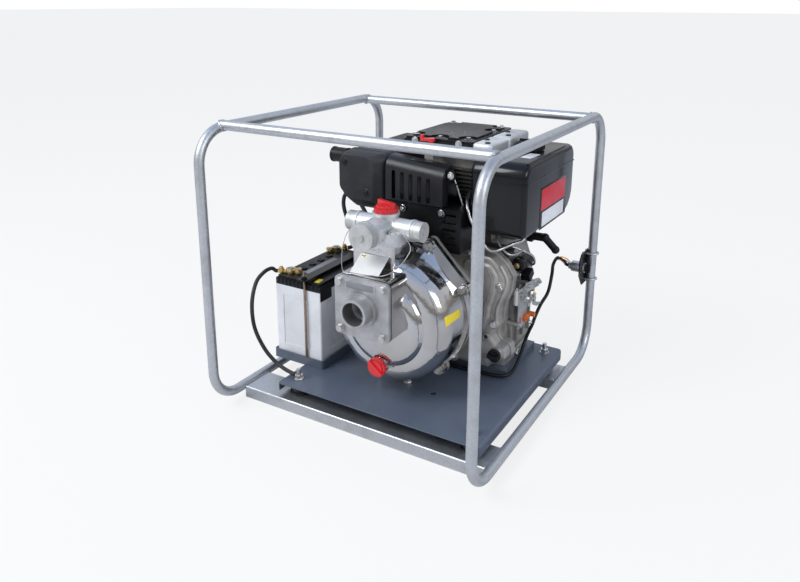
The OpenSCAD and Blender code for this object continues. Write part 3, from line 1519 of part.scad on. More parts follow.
switch_loom();
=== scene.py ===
import json
import math

import bmesh
import bpy
from mathutils import Matrix, Vector
from mathutils.noise import noise as noiseAt


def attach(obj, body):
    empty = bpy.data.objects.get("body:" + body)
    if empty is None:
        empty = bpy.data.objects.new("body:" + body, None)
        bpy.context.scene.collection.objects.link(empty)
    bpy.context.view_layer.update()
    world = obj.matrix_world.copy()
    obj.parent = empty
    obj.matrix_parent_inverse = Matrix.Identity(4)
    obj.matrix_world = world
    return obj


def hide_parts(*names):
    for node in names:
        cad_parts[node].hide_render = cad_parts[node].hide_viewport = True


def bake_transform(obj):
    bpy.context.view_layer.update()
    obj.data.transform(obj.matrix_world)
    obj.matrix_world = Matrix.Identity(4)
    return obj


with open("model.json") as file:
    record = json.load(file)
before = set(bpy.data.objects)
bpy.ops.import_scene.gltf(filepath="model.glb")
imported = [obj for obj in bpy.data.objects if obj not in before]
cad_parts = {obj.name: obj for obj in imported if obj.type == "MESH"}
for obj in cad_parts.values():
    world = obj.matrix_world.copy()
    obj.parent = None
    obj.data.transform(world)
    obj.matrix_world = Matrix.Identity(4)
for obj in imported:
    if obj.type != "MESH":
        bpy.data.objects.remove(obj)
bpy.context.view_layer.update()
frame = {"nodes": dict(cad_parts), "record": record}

nodes = frame["nodes"]
staticBody = "frame_and_engine"


def say(text):
    print("scene:", text)


class Wire:  # one shader socket that takes part in sums
    def __init__(self, finish, socket):
        self.finish, self.socket = finish, socket

    def sum(self, operation, *values):
        return self.finish.node("ShaderNodeMath", {"operation": operation}, dict(enumerate(values)))

    def __add__(self, other): return self.sum("ADD", self, other)
    def __radd__(self, other): return self.sum("ADD", other, self)
    def __sub__(self, other): return self.sum("SUBTRACT", self, other)
    def __rsub__(self, other): return self.sum("SUBTRACT", other, self)
    def __mul__(self, other): return self.sum("MULTIPLY", self, other)
    def __rmul__(self, other): return self.sum("MULTIPLY", other, self)
    def __truediv__(self, other): return self.sum("DIVIDE", self, other)


class Finish:  # one material, whose nodes all come from node()
    def __init__(self, name):
        self.material = bpy.data.materials.new(name)
        self.material.use_nodes = True
        self.tree = self.material.node_tree
        self.tree.nodes.clear()
        self.output = self.tree.nodes.new("ShaderNodeOutputMaterial")

    def node(self, kind, settings=None, inputs=None, out=0):
        made = self.tree.nodes.new(kind)
        for key, value in (settings or {}).items():
            if key == "stops":
                ramp = made.color_ramp.elements
                while len(ramp) < len(value):
                    ramp.new(0.5)
                for stop, (place, colour) in zip(ramp, value):
                    stop.position = place
                    stop.color = (*colour, 1) if isinstance(colour, tuple) else (colour, colour, colour, 1)
            else:
                setattr(made, key, value)
        for key, value in (inputs or {}).items():
            if isinstance(value, Wire):
                self.tree.links.new(value.socket, made.inputs[key])
            elif isinstance(value, tuple) and len(value) == 3 and made.inputs[key].type == "RGBA":
                made.inputs[key].default_value = (*value, 1)
            else:
                made.inputs[key].default_value = value
        return Wire(self, made.outputs[out])

    def place(self):
        return self.node("ShaderNodeTexCoord", out=3)  # the object's own coordinates, in metres

    def stretch(self, x, y, z):
        return self.node("ShaderNodeVectorMath", {"operation": "MULTIPLY"}, {0: self.place(), 1: (x, y, z)})

    def cloud(self, scale, detail=3.0, rough=0.5, at=None):
        inputs = {"Vector": at or self.place(), "Scale": scale, "Detail": detail, "Roughness": rough}
        return self.node("ShaderNodeTexNoise", {}, inputs)

    def cells(self, scale, out=0):
        return self.node("ShaderNodeTexVoronoi", {}, {"Vector": self.place(), "Scale": scale}, out)

    def ramp(self, value, low, high, a=0.0, b=1.0):
        return self.node("ShaderNodeMapRange", {"clamp": True}, {0: value, 1: low, 2: high, 3: a, 4: b})

    def blendOf(self, factor, a, b):
        return self.node("ShaderNodeMix", {"data_type": "RGBA"}, {0: factor, 6: a, 7: b}, 2)

    def bump(self, height, strength, distance=0.001, normal=None):
        inputs = {"Height": height, "Strength": strength, "Distance": distance}
        if normal:
            inputs["Normal"] = normal
        return self.node("ShaderNodeBump", {}, inputs)

    def close(self, **sockets):
        names = {"base": "Base Color", "rough": "Roughness", "metal": "Metallic", "coat": "Coat Weight",
                 "normal": "Normal", "sub": "Subsurface Weight", "specular": "Specular IOR Level"}
        shader = self.node("ShaderNodeBsdfPrincipled", {}, {names[k]: v for k, v in sockets.items()})
        self.tree.links.new(shader.socket, self.output.inputs["Surface"])
        return self.material


def galvanisedFinish():
    f = Finish("galvanisedTube")
    flakes = f.cells(240.0, out=1)  # the spangle of the zinc
    tone = f.node("ShaderNodeSeparateColor", {}, {0: flakes})
    grime = f.cloud(14.0, 5.0, 0.65)
    runs = f.cloud(9.0, 2.0, 0.5, f.stretch(1.0, 1.0, 0.15))
    base = f.blendOf(f.ramp(tone, 0.0, 1.0, 0.25, 0.75), (0.47, 0.485, 0.5), (0.6, 0.615, 0.63))
    base = f.blendOf(f.ramp(grime, 0.52, 0.72, 0.0, 0.5), base, (0.33, 0.33, 0.33))
    rough = f.ramp(runs, 0.3, 0.7, 0.3, 0.46) + tone * 0.06
    return f.close(base=base, rough=rough, metal=0.9, normal=f.bump(f.cloud(420.0, 2.0), 0.12, 0.0004))


def platedFinish(name="platedSteel", tint=(0.62, 0.62, 0.6)):
    f = Finish(name)
    blotch = f.cloud(60.0, 4.0)
    base = f.blendOf(f.ramp(blotch, 0.45, 0.75), tint, tuple(c * 0.7 for c in tint))
    return f.close(base=base, rough=f.ramp(blotch, 0.3, 0.7, 0.22, 0.4), metal=1.0,
                   normal=f.bump(f.cloud(500.0, 2.0), 0.08, 0.0003))


def greyPaintFinish():
    f = Finish("greyPaint")
    dust = f.cloud(7.0, 6.0, 0.7)
    specks = f.cells(70.0)
    spots = f.ramp(specks, 0.05, 0.1, 1.0, 0.0) * f.ramp(f.cloud(12.0), 0.55, 0.65)
    base = f.blendOf(f.ramp(dust, 0.4, 0.75, 0.0, 0.6), (0.078, 0.098, 0.135), (0.12, 0.142, 0.18))
    base = f.blendOf(spots * 0.5, base, (0.3, 0.31, 0.32))
    return f.close(base=base, rough=f.ramp(dust, 0.3, 0.7, 0.34, 0.52), coat=0.15,
                   normal=f.bump(f.cloud(650.0, 2.0), 0.1, 0.0003))


def blackFinish(name, rough, grain=0.05, coat=0.0, tone=0.012):
    f = Finish(name)
    haze = f.cloud(18.0, 5.0, 0.6)
    base = f.blendOf(f.ramp(haze, 0.45, 0.8), (tone, tone, tone * 1.12), (tone * 1.8, tone * 1.8, tone * 2.0))
    return f.close(base=base, rough=f.ramp(haze, 0.3, 0.75, rough, rough + 0.1), coat=coat, specular=0.3,
                   normal=f.bump(f.cloud(700.0, 2.0), grain, 0.0003))


def rubberFinish():
    f = Finish("rubber")
    haze = f.cloud(40.0, 4.0)
    base = f.blendOf(f.ramp(haze, 0.4, 0.8), (0.012, 0.012, 0.012), (0.035, 0.034, 0.033))
    return f.close(base=base, rough=0.55, normal=f.bump(f.cloud(900.0, 2.0), 0.15, 0.0003))


def polishedFinish():
    f = Finish("polishedCasting")
    pits = f.cells(310.0)
    waves = f.cloud(26.0, 3.0, 0.5)
    haze = f.cloud(9.0, 5.0, 0.6)
    bands = f.ramp(f.cloud(5.0, 3.0, 0.5, at=f.stretch(1.0, 1.0, 0.5)), 0.42, 0.62)
    base = f.blendOf(f.ramp(haze, 0.35, 0.75), (0.62, 0.625, 0.64), (0.46, 0.46, 0.47))
    base = f.blendOf(bands * 0.5, base, (0.47, 0.43, 0.38))
    dents = f.ramp(pits, 0.02, 0.08, 0.0, 1.0)
    height = f.bump(dents, 0.12, 0.0004, f.bump(waves, 0.35, 0.004))
    return f.close(base=base, rough=f.ramp(haze, 0.3, 0.75, 0.07, 0.2), metal=1.0, normal=height)


def castFinish(name="castAlloy", tint=(0.46, 0.44, 0.41), metal=0.75, rough=0.42, grain=0.35):
    f = Finish(name)
    stain = f.cloud(16.0, 6.0, 0.65)
    base = f.blendOf(f.ramp(stain, 0.42, 0.72), tint, tuple(c * 0.6 for c in tint))
    skin = f.bump(f.cloud(520.0, 3.0, 0.7), grain, 0.0006)
    return f.close(base=base, rough=f.ramp(stain, 0.3, 0.7, rough, rough + 0.16), metal=metal, normal=skin)


def plasticFinish(name, tint, rough=0.25, coat=0.1, sub=0.0):
    f = Finish(name)
    haze = f.cloud(22.0, 4.0)
    base = f.blendOf(f.ramp(haze, 0.4, 0.8, 0.0, 0.6), tint, tuple(c * 0.72 for c in tint))
    return f.close(base=base, rough=f.ramp(haze, 0.3, 0.75, rough, rough + 0.12), coat=coat, sub=sub,
                   normal=f.bump(f.cloud(800.0, 2.0), 0.06, 0.0003))


finishes = {
    "galvanised_tube": galvanisedFinish(),
    "plated_steel": platedFinish(),
    "grey_paint": greyPaintFinish(),
    "black_paint": blackFinish("blackPaint", 0.26, tone=0.005),
    "rubber": rubberFinish(),
    "white_plastic": plasticFinish("batteryWhite", (0.78, 0.79, 0.8), 0.28, sub=0.05),
    "black_plastic": blackFinish("blackPlastic", 0.36, 0.2, tone=0.006),
    "red_plastic": plasticFinish("redPlastic", (0.68, 0.016, 0.02), 0.22, 0.3),
    "brass": platedFinish("brass", (0.72, 0.54, 0.24)),
    "polished_aluminium": polishedFinish(),
    "cast_aluminium": castFinish(),
    "bare_steel": platedFinish("bareSteel", (0.5, 0.5, 0.5)),
    "exhaust_steel": blackFinish("exhaustSteel", 0.5, 0.3, tone=0.03),
    "orange_paint": plasticFinish("orangePaint", (0.72, 0.16, 0.02), 0.35),
    "lead": castFinish("lead", (0.34, 0.35, 0.37), 0.7, 0.5, 0.2),
}
silverCast = castFinish("silverCast", (0.74, 0.75, 0.75), 0.55, 0.33, 0.18)
coverCast = castFinish("coverCast", (0.5, 0.5, 0.5), 0.75, 0.34, 0.15)
capCast = castFinish("capCast", (0.62, 0.62, 0.6), 0.6, 0.42, 0.3)
say("finishes made")


def paint(obj, material):
    obj.data.materials.clear()
    obj.data.materials.append(material)


slotOf = {s["node"]: s["material_slot"] for s in frame["record"]["subparts"]}
ownFinish = {"battery_tray": finishes["grey_paint"], "governor_plate": finishes["plated_steel"],
             "outlet_manifold": silverCast, "front_outlet_cap": capCast, "left_outlet_cap": capCast,
             "right_outlet_cap": capCast, "suction_cover": coverCast}
softEdge = {"pump_casing": 1.6, "outlet_manifold": 1.2, "suction_cover": 1.0, "crankcase": 1.5,
            "gear_case_cover": 1.5, "air_cleaner": 2.5, "battery_lid": 1.2, "battery_case": 1.5}


def dressNode(name):
    obj = nodes[name]
    paint(obj, ownFinish.get(name, finishes[slotOf[name]]))
    bevel = obj.modifiers.new("softEdges", "BEVEL")
    bevel.width = softEdge.get(name, 0.5) / 1000
    bevel.segments = 2
    bevel.limit_method = "ANGLE"
    bevel.angle_limit = math.radians(35)
    bevel.harden_normals = True


for nodeName in nodes:
    dressNode(nodeName)

# camera of the photograph, in the frame's metres and degrees
view = {"place": (0.7815, -1.3765, 0.8822), "yaw": 30.71, "pitch": 15.01, "roll": 0.17, "lens": 33.10,
        "sensor": 36.0, "shiftX": -0.00195, "shiftY": -0.1173}
cameraData = bpy.data.cameras.new("photoCamera")
cameraData.lens = view["lens"]
cameraData.sensor_width = view["sensor"]
cameraData.shift_x = view["shiftX"]
cameraData.shift_y = view["shiftY"]
camera = bpy.data.objects.new("photoCamera", cameraData)
bpy.context.scene.collection.objects.link(camera)
camera.matrix_world = (Matrix.Translation(view["place"]) @ Matrix.Rotation(math.radians(view["yaw"]), 4, "Z")
                       @ Matrix.Rotation(math.radians(90 - view["pitch"]), 4, "X")
                       @ Matrix.Rotation(math.radians(view["roll"]), 4, "Z"))
bpy.context.scene.camera = camera


mm = 0.001
sides = {"front": ((1, 0, 0), (0, 0, 1)), "right": ((0, 1, 0), (0, 0, 1)), "left": ((0, -1, 0), (0, 0, 1)),
         "top": ((1, 0, 0), (0, 1, 0))}


def basis(place, across, up):
    # millimetres along across, up and their outward normal, set at place
    x = Vector(across).normalized()
    z = x.cross(Vector(up)).normalized()
    m = Matrix((x, z.cross(x), z)).transposed().to_4x4()
    m.translation = Vector(place) * mm
    return m @ Matrix.Scale(mm, 4)


def seat(place, side, turn=0):
    return basis(place, *sides[side]) @ Matrix.Rotation(math.radians(turn), 4, "Z")


def meshPiece(name, mesh, material=None, body=staticBody, at=None, angle=40):
    bmesh.ops.recalc_face_normals(mesh, faces=mesh.faces)
    if at:
        mesh.transform(at)
    data = bpy.data.meshes.new(name)
    mesh.to_mesh(data)
    mesh.free()
    obj = bpy.data.objects.new(name, data)
    bpy.context.scene.collection.objects.link(obj)
    data.polygons.foreach_set("use_smooth", [True] * len(data.polygons))
    data.set_sharp_from_angle(angle=math.radians(angle))
    if material:
        data.materials.append(material)
    if body:
        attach(obj, body)
    return obj


def stackRings(rings, capLow=True, capHigh=True, closed=True):
    # skin over rings of points with the same number of points each
    mesh = bmesh.new()
    rows = [[mesh.verts.new(p) for p in ring] for ring in rings]
    count = len(rows[0])
    for low, high in zip(rows, rows[1:]):
        for k in range(count if closed else count - 1):
            mesh.faces.new((low[k], low[(k + 1) % count], high[(k + 1) % count], high[k]))
    if capLow:
        mesh.faces.new(list(reversed(rows[0])))
    if capHigh:
        mesh.faces.new(rows[-1])
    return mesh


def lathe(name, profile, at, material, body=staticBody, steps=40):
    # profile points are (radius, height) along the outward normal
    rings = [[(max(r, 0.01) * math.cos(a), max(r, 0.01) * math.sin(a), h)
              for a in (2 * math.pi * k / steps for k in range(steps))] for r, h in profile]
    return meshPiece(name, stackRings(rings), material, body, at, 32)


def roundRect(w, h, r, steps=5):
    out = []
    for sx, sy, start in ((1, 1, 0), (-1, 1, 90), (-1, -1, 180), (1, -1, 270)):
        for k in range(steps + 1):
            a = math.radians(start + 90 * k / steps)
            out.append((sx * (w / 2 - r) + r * math.cos(a), sy * (h / 2 - r) + r * math.sin(a)))
    return out


def filleted(corners, inset=0.0, steps=5):
    # corners are (x, y, radius), anticlockwise; every side moves inwards by inset
    count = len(corners)
    moved = []
    for i in range(count):
        before, here, after = (Vector(corners[k % count][:2]) for k in (i - 1, i, i + 1))
        u, v = (here - before).normalized(), (after - here).normalized()
        normalU, normalV = Vector((-u.y, u.x)), Vector((-v.y, v.x))
        bisector = (normalU + normalV).normalized()
        moved.append(here + bisector * inset / max(bisector.dot(normalU), 0.2))
    out = []
    for i in range(count):
        before, here, after = (moved[k % count] for k in (i - 1, i, i + 1))
        u, v = (before - here).normalized(), (after - here).normalized()
        radius = max(corners[i][2] - inset, 0.6)
        half = u.angle(v) / 2
        reach = min(radius / math.tan(half), (before - here).length * 0.49, (after - here).length * 0.49)
        radius = reach * math.tan(half)
        middle = here + (u + v).normalized() * radius / math.sin(half)
        a, b = here + u * reach - middle, here + v * reach - middle
        for k in range(steps + 1):
            blend = a.lerp(b, k / steps).normalized() * radius
            out.append(tuple(middle + blend))
    return out


def slab(name, outline, levels, at, material, body=staticBody, angle=40):
    # levels are (inset, height); outline is a function of the inset or a fixed list of points
    rings = []
    for inset, high in levels:
        points = outline(inset) if callable(outline) else outline
        rings.append([(x, y, high) for x, y in points])
    return meshPiece(name, stackRings(rings), material, body, at, angle)


def card(name, w, h, thick, at, material, radius=2.0, body=staticBody):
    edge = min(thick * 0.4, 0.4)
    levels = [(0, 0), (0, thick - edge), (edge, thick)]
    return slab(name, lambda d: roundRect(w - 2 * d, h - 2 * d, radius), levels, at, material, body)


def screwHead(name, place, side, across=10.0, high=5.0, washer=0.0, material=None, body=staticBody, turn=0.0):
    # hexagon head with its chamfer, on a washer where one is asked for
    at = seat(place, side, turn)
    material = material or finishes["plated_steel"]
    corner = across / 1.732
    hexagon = [(corner * math.cos(a), corner * math.sin(a)) for a in (math.radians(60 * k) for k in range(6))]
    low = 1.2 if washer else 0.0
    levels = [(0, low), (0, low + high * 0.85), (0.1, low + high)]
    head = slab(name, lambda d: [(x * (1 - d), y * (1 - d)) for x, y in hexagon], levels, at, material,
                body, 20)
    if washer:
        ring = [(washer - 0.3, 0), (washer, 0.3), (washer, 1.1), (washer - 0.4, 1.4)]
        lathe(name + ".washer", ring, at, material, body)
    return head


def smoothRoute(stops, steps):
    # the same rule as in the model's source, so the cable lies where its solid does
    out = []
    last = len(stops) - 1
    for i in range(last):
        a, b, c, d = (Vector(stops[min(max(k, 0), last)]) for k in (i - 1, i, i + 1, i + 2))
        for k in range(steps):
            t = k / steps
            out.append(0.5 * (2 * b + (c - a) * t + (2 * a - 5 * b + 4 * c - d) * t * t
                              + (3 * b - a - 3 * c + d) * t ** 3) * mm)
    out.append(Vector(stops[last]) * mm)
    return out


def routeLength(points):
    return sum((b - a).length for a, b in zip(points, points[1:]))


def tubeAlong(name, points, radius, material, body=staticBody, sides=14, closed=False, shape=None):
    # round tube through the points; its frame is carried along, so it doesn't twist
    rings = []
    across = None
    count = len(points)
    for i, p in enumerate(points):
        ahead, behind = (points[(i + 1) % count], points[i - 1]) if closed else \
            (points[min(i + 1, count - 1)], points[max(i - 1, 0)])
        run = (ahead - behind).normalized()
        if across is None:
            across = run.orthogonal().normalized()
        else:
            across = (across - run * across.dot(run)).normalized()
        up = run.cross(across)
        r = radius * mm * (shape(i / max(count - 1, 1)) if shape else 1.0)
        rings.append([p + r * (across * math.cos(a) + up * math.sin(a))
                      for a in (2 * math.pi * k / sides for k in range(sides))])
    if closed:
        rings.append(rings[0])
    return meshPiece(name, stackRings(rings, not closed, not closed), material, body)


cables = {
    "earthCable": {
        "node": "earth_cable", "radius": 4.5, "steps": 8, "slot": "rubber", "stiffness": "stiff",
        "stops": [(-295.35, -131.05, 268.5), (-300.05, -132.76, 268.5), (-303, -144, 277), (-302, -172, 276),
                  (-298, -204, 262), (-291, -228, 222), (-289, -226, 164), (-276, -212, 110), (-250, -206,
                                                                                               80),
                  (-218, -209, 70), (-187, -212, 67)]},
    "positiveCable": {
        "node": "positive_cable", "radius": 5.0, "steps": 8, "slot": "rubber", "stiffness": "stiff",
        "stops": [(-248.85, 89.97, 268.5), (-246.35, 94.3, 268.5), (-243, 100, 271), (-240, 104, 281),
                  (-239, 103, 294), (-240, 95, 322), (-252, 90, 352), (-261, 91, 384), (-254, 92, 410),
                  (-230, 94, 412), (-196, 92, 372), (-160, 80, 334), (-131, 77, 315), (-120, 87, 311),
                  (-119, 99, 311), (-119, 110.7, 311)]},
    "switchLoom": {
        "node": "switch_loom", "radius": 4.0, "steps": 8, "slot": "black_plastic", "stiffness": "medium",
        "stops": [(264.25, 305, 252), (257.55, 305, 252), (250, 300, 262), (240, 286, 272), (238, 262, 262),
                  (246, 232, 246), (248, 205, 212), (247, 160, 196), (245, 134, 176), (242, 124, 158),
                  (235, 124, 140), (227, 120, 112), (229, 88, 90), (229, 40, 72), (208, 17, 68), (150, 14,
                                                                                                  66),
                  (60, 10, 66), (-40, 12, 66), (-100, 30, 72), (-118, 60, 110), (-124, 66, 180),
                  (-121, 68.7, 243)]},
    "capWire": {
        "node": "cap_wire", "radius": 0.8, "steps": 8, "slot": "bare_steel", "stiffness": "medium",
        "stops": [(-46, -162, 426), (-58, -180, 418), (-52, -210, 390), (-22, -252, 362), (4, -252, 359),
                  (34, -246, 360), (56, -222, 356), (70, -190, 366), (80, -160, 396), (66, -161.5, 424)]},
    "fuelReturnPipe": {
        "node": "fuel_return_pipe", "radius": 3.5, "steps": 8, "slot": "bare_steel", "stiffness": "stiff",
        "stops": [(237, 62, 401.7), (237, 62, 395), (236, 54, 382), (222, 30, 378), (200, 0, 369),
                  (188, -22, 376), (172, -27, 400), (150, -24, 430), (139, -21, 456), (129, -4, 470),
                  (116, 30, 477), (110, 52, 479), (110, 59.7, 479)]},
}
for cableName, cable in cables.items():
    line = smoothRoute(cable["stops"], cable["steps"])
    tubeAlong(cableName, line, cable["radius"], finishes[cable["slot"]], sides=16)
    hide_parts(cable["node"])
    routeLength(line)
say("cords laid")

# floor and light of a plain studio
floor = {"size": 120.0, "tint": (0.62, 0.61, 0.6), "glow": 0.8}
floorMesh = bmesh.new()
bmesh.ops.create_grid(floorMesh, x_segments=1, y_segments=1, size=floor["size"] / 2)
floorFinish = Finish("studioFloor")
seen = floorFinish.node("ShaderNodeLightPath", out=0)
glow = floorFinish.node("ShaderNodeEmission", {}, {"Color": (1, 1, 1), "Strength": 1.0})
matt = floorFinish.node("ShaderNodeBsdfPrincipled", {}, {"Base Color": floor["tint"], "Roughness": 0.8})
mix = floorFinish.node("ShaderNodeMixShader", {}, {0: seen * floor["glow"], 1: matt, 2: glow})
floorFinish.tree.links.new(mix.socket, floorFinish.output.inputs["Surface"])
floorObj = meshPiece("studioFloor", floorMesh, floorFinish.material, body=None)

sky = {"strength": 0.85,
       "stops": ((0.0, (0.3, 0.27, 0.24)), (0.08, (0.42, 0.4, 0.38)), (0.24, (0.86, 0.88, 0.92)),
                 (0.6, (0.76, 0.84, 1.0)), (1.0, (0.52, 0.68, 1.0)))}
world = bpy.data.worlds.new("studioWorld")
bpy.context.scene.world = world
world.use_nodes = True
worldTree = world.node_tree
backdrop = worldTree.nodes["Background"]
backdrop.inputs["Strength"].default_value = sky["strength"]
direction = worldTree.nodes.new("ShaderNodeTexCoord")
height = worldTree.nodes.new("ShaderNodeSeparateXYZ")
tint = worldTree.nodes.new("ShaderNodeValToRGB")
for k, (level, colour) in enumerate(sky["stops"]):
    stop = tint.color_ramp.elements[k] if k < 2 else tint.color_ramp.elements.new(level)
    stop.position = level
    stop.color = (*colour, 1)
plainWhite = worldTree.nodes.new("ShaderNodeBackground")
plainWhite.inputs["Color"].default_value = (1, 1, 1, 1)
rayKind = worldTree.nodes.new("ShaderNodeLightPath")
choice = worldTree.nodes.new("ShaderNodeMixShader")
skyLinks = (
    (direction.outputs["Generated"], height.inputs[0]),
    (height.outputs["Z"], tint.inputs[0]),
    (tint.outputs[0], backdrop.inputs["Color"]),
    (rayKind.outputs[0], choice.inputs[0]),
    (backdrop.outputs[0], choice.inputs[1]),
    (plainWhite.outputs[0], choice.inputs[2]),
    (choice.outputs[0], worldTree.nodes["World Output"].inputs["Surface"]),
)
for source, target in skyLinks:
    worldTree.links.new(source, target)
lamps = {
    "keyLamp": {"place": (-1.6, -2.4, 3.0), "size": 1.8, "power": 105},
    "rightLamp": {"place": (3.0, -0.8, 1.8), "size": 1.4, "power": 26},
}
lampAim = Vector((0, 0, 0.3))
for lampName, lamp in lamps.items():
    lampData = bpy.data.lights.new(lampName, "AREA")
    lampData.energy = lamp["power"]
    lampData.size = lamp["size"]
    lampObj = bpy.data.objects.new(lampName, lampData)
    bpy.context.scene.collection.objects.link(lampObj)
    lampObj.location = lamp["place"]
    lampObj.rotation_euler = (lampAim - Vector(lamp["place"])).to_track_quat("-Z", "Y").to_euler()
bpy.context.scene.view_settings.view_transform = "Standard"
say("camera, floor and light made")

weldFinish = castFinish("weldBead", (0.52, 0.53, 0.54), 0.85, 0.38, 0.5)
welds = {"hoopX": 310.0, "topZ": 627.65, "tubeR": 10.65, "beadR": 2.2, "beadTop": 640.3, "sunk": 0.6,
         "proud": 0.5, "rails": ((-272, 632.15), (272, 625.15)), "channels": ((-251, -179), (140, 212)),
         "channelX": 299.2, "channelZ": 27.6, "channelR": 1.9}


def bead(name, points, radius, closed):
    lumps = len(points) / 2.6

    def swell(t):
        return 1.0 + 0.16 * math.sin(t * lumps * 2 * math.pi) + 0.1 * noiseAt(Vector((t * 31, 0, 0)))

    return tubeAlong(name, points, radius, weldFinish, sides=8, closed=closed, shape=swell)


for sideName, sign in (("left", -1), ("right", 1)):
    for railName, (railY, railZ) in zip(("front", "rear"), welds["rails"]):
        saddle = []
        for k in range(40):
            a = 2 * math.pi * k / 40
            off = railZ + welds["tubeR"] * math.sin(a) - welds["topZ"]
            reach = math.sqrt(max(welds["tubeR"] ** 2 - off ** 2, 1.0))
            x = sign * (welds["hoopX"] - reach - welds["sunk"])
            y = railY + (welds["tubeR"] + welds["proud"]) * math.cos(a)
            z = min(railZ + (welds["tubeR"] + welds["proud"]) * math.sin(a), welds["beadTop"])
            saddle.append(Vector((x, y, z)) * mm)
        bead(f"weld.{sideName}.{railName}", saddle, welds["beadR"], True)
    for place, (low, high) in zip(("front", "rear"), welds["channels"]):
        x, z = sign * welds["channelX"], welds["channelZ"]
        run = [Vector((x, low + (high - low) * k / 24, z)) * mm for k in range(25)]
        bead(f"weld.{sideName}.{place}.channel", run, welds["channelR"], False)
say("frame welds laid")

pump = {"tagMiddle": (13.2, -208.3, 366.5), "tagAcross": (65, 3.5, 1.5), "tagUp": (-21, 44.5, 25),
        "tagSize": (66, 54), "eyelet": (-24, 20, 0.5), "namePanel": (64, 13, 0.4),
        "namePanelAt": (20, -256.1, 336.5), "bore": (23, 289, 24.2), "boreY": (-283, -252),
        "stop": (111.4, -116, 53.8),
        "sticker": ((172, -183.4, 278.3), (172, -116.5, 272.5), (172, -111.5, 253.2), (172, -177.2, 254.9))}
paperFinish = plasticFinish("whiteCard", (0.7, 0.7, 0.68), 0.6, 0.0)
yellowFinish = plasticFinish("yellowLabel", (0.86, 0.66, 0.02), 0.35, 0.1)
redLabel = plasticFinish("redLabel", (0.62, 0.012, 0.03), 0.3, 0.15)
whiteLabel = plasticFinish("whiteLabel", (0.8, 0.81, 0.82), 0.32, 0.1)
blackLabel = blackFinish("blackLabel", 0.28, 0.05)
batteryGrey = plasticFinish("batteryGrey", (0.2, 0.21, 0.22), 0.4, 0.1)


def decal(name, node, corners, material, cells=14, lift=0.4):
    # blank label pressed onto a curved casting, along the lines of sight through its corners
    eye = Vector(view["place"])
    a, b, c, d = (Vector(p) * mm for p in corners)
    mesh = bmesh.new()
    grid = []
    for j in range(cells + 1):
        row = []
        for i in range(cells + 1):
            u, v = i / cells, j / cells
            aim = a.lerp(b, u).lerp(d.lerp(c, u), v)
            hit, where, normal, face = nodes[node].ray_cast(eye, (aim - eye).normalized())
            row.append(mesh.verts.new(where + normal * lift * mm if hit else aim))
        grid.append(row)
    for j in range(cells):
        for i in range(cells):
            mesh.faces.new((grid[j][i], grid[j + 1][i], grid[j + 1][i + 1], grid[j][i + 1]))
    made = meshPiece(name, mesh, material)
    made.modifiers.new("thickness", "SOLIDIFY").thickness = 0.3 * mm
    return made


decal("casingLabel", "pump_casing", pump["sticker"], yellowFinish)
tagAt = basis(pump["tagMiddle"], pump["tagAcross"], pump["tagUp"])
card("hangingTag", *pump["tagSize"], 0.6, tagAt, paperFinish, 1.5)
card("coverNamePanel", *pump["namePanel"], seat(pump["namePanelAt"], "front"), batteryGrey, 1.0)
# dark grey sleeve lining the outlet bore: painted shade inside the bore
boreX, boreZ, boreR = pump["bore"]
boreTurns = [math.pi * k / 20 for k in range(40)]
bore = [[(boreX + boreR * math.cos(a), y,
          boreZ + boreR * math.sin(a)) for a in boreTurns] for y in pump["boreY"]]
boreShadeFinish = castFinish("paintedBoreShade", (0.17, 0.17, 0.17), 0.6, 0.45)
meshPiece("boreShade", stackRings(bore, False, False), boreShadeFinish, at=Matrix.Scale(mm, 4))
lathe("plateStop", [(12, 0), (13, 0.4), (13, 2), (12, 2.4)], seat(pump["stop"], "top"), finishes["rubber"])
lathe("tagEyelet", [(2.2, 0), (4.2, 0), (4.4, 0.5), (3.4, 1.0), (2.2, 0.6)],
      tagAt @ Matrix.Translation(pump["eyelet"]), finishes["brass"], steps=24)
say("pump dressed")

cleaner = {"rear": 230, "stub": (-168, -16, 537), "washerY": -59.7, "nutY": -60.6,
           "box": ((-170.3, 466), (-137, 428), (-53, 428), (-53, 555), (-170, 555)),
           "lid": ((-164, 474), (-143, 450), (-75, 450), (-75, 549), (-164, 549)),
           "round": (20, 20, 9, 17, 17), "knobs": ((-148.3, 532), (-92.3, 468))}


def cleanerOutline(t):
    # t runs from the box's own outline to that of the front of its lid
    corners = [(a[0] + (b[0] - a[0]) * t, a[1] + (b[1] - a[1]) * t, r)
               for a, b, r in zip(cleaner["box"], cleaner["lid"], cleaner["round"])]
    return filleted(corners)


cleanerFinish = blackFinish("cleanerPlastic", 0.42, 0.25, tone=0.022)
cleanerAt = seat((0, cleaner["rear"], 0), "front")
cleanerBox = slab("airCleanerBox", cleanerOutline,
                  [(0.12, 0), (0.03, 3), (0, 8), (0, 262), (0.04, 266), (0.62, 281), (0.84, 286), (0.96,
                                                                                                   288.6),
                   (1.06, 290)], cleanerAt, cleanerFinish, angle=50)
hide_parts("air_cleaner")
cleanerRim = [(x, y, r) for (x, y), r in zip(cleaner["box"], cleaner["round"])]
slab("airCleanerRim", lambda inset: filleted(cleanerRim, inset),
     [(-0.6, 236), (-1.9, 237), (-1.9, 242), (-0.6, 243)], cleanerAt, cleanerFinish, angle=50)
lathe("airIntakeStub", [(18, 0), (17, 6), (17, 36), (18, 37), (18, 41), (17, 42), (14, 42), (13.4, 40),
                        (13.4, 6), (0, 6)], seat(cleaner["stub"], "left"), finishes["black_plastic"])
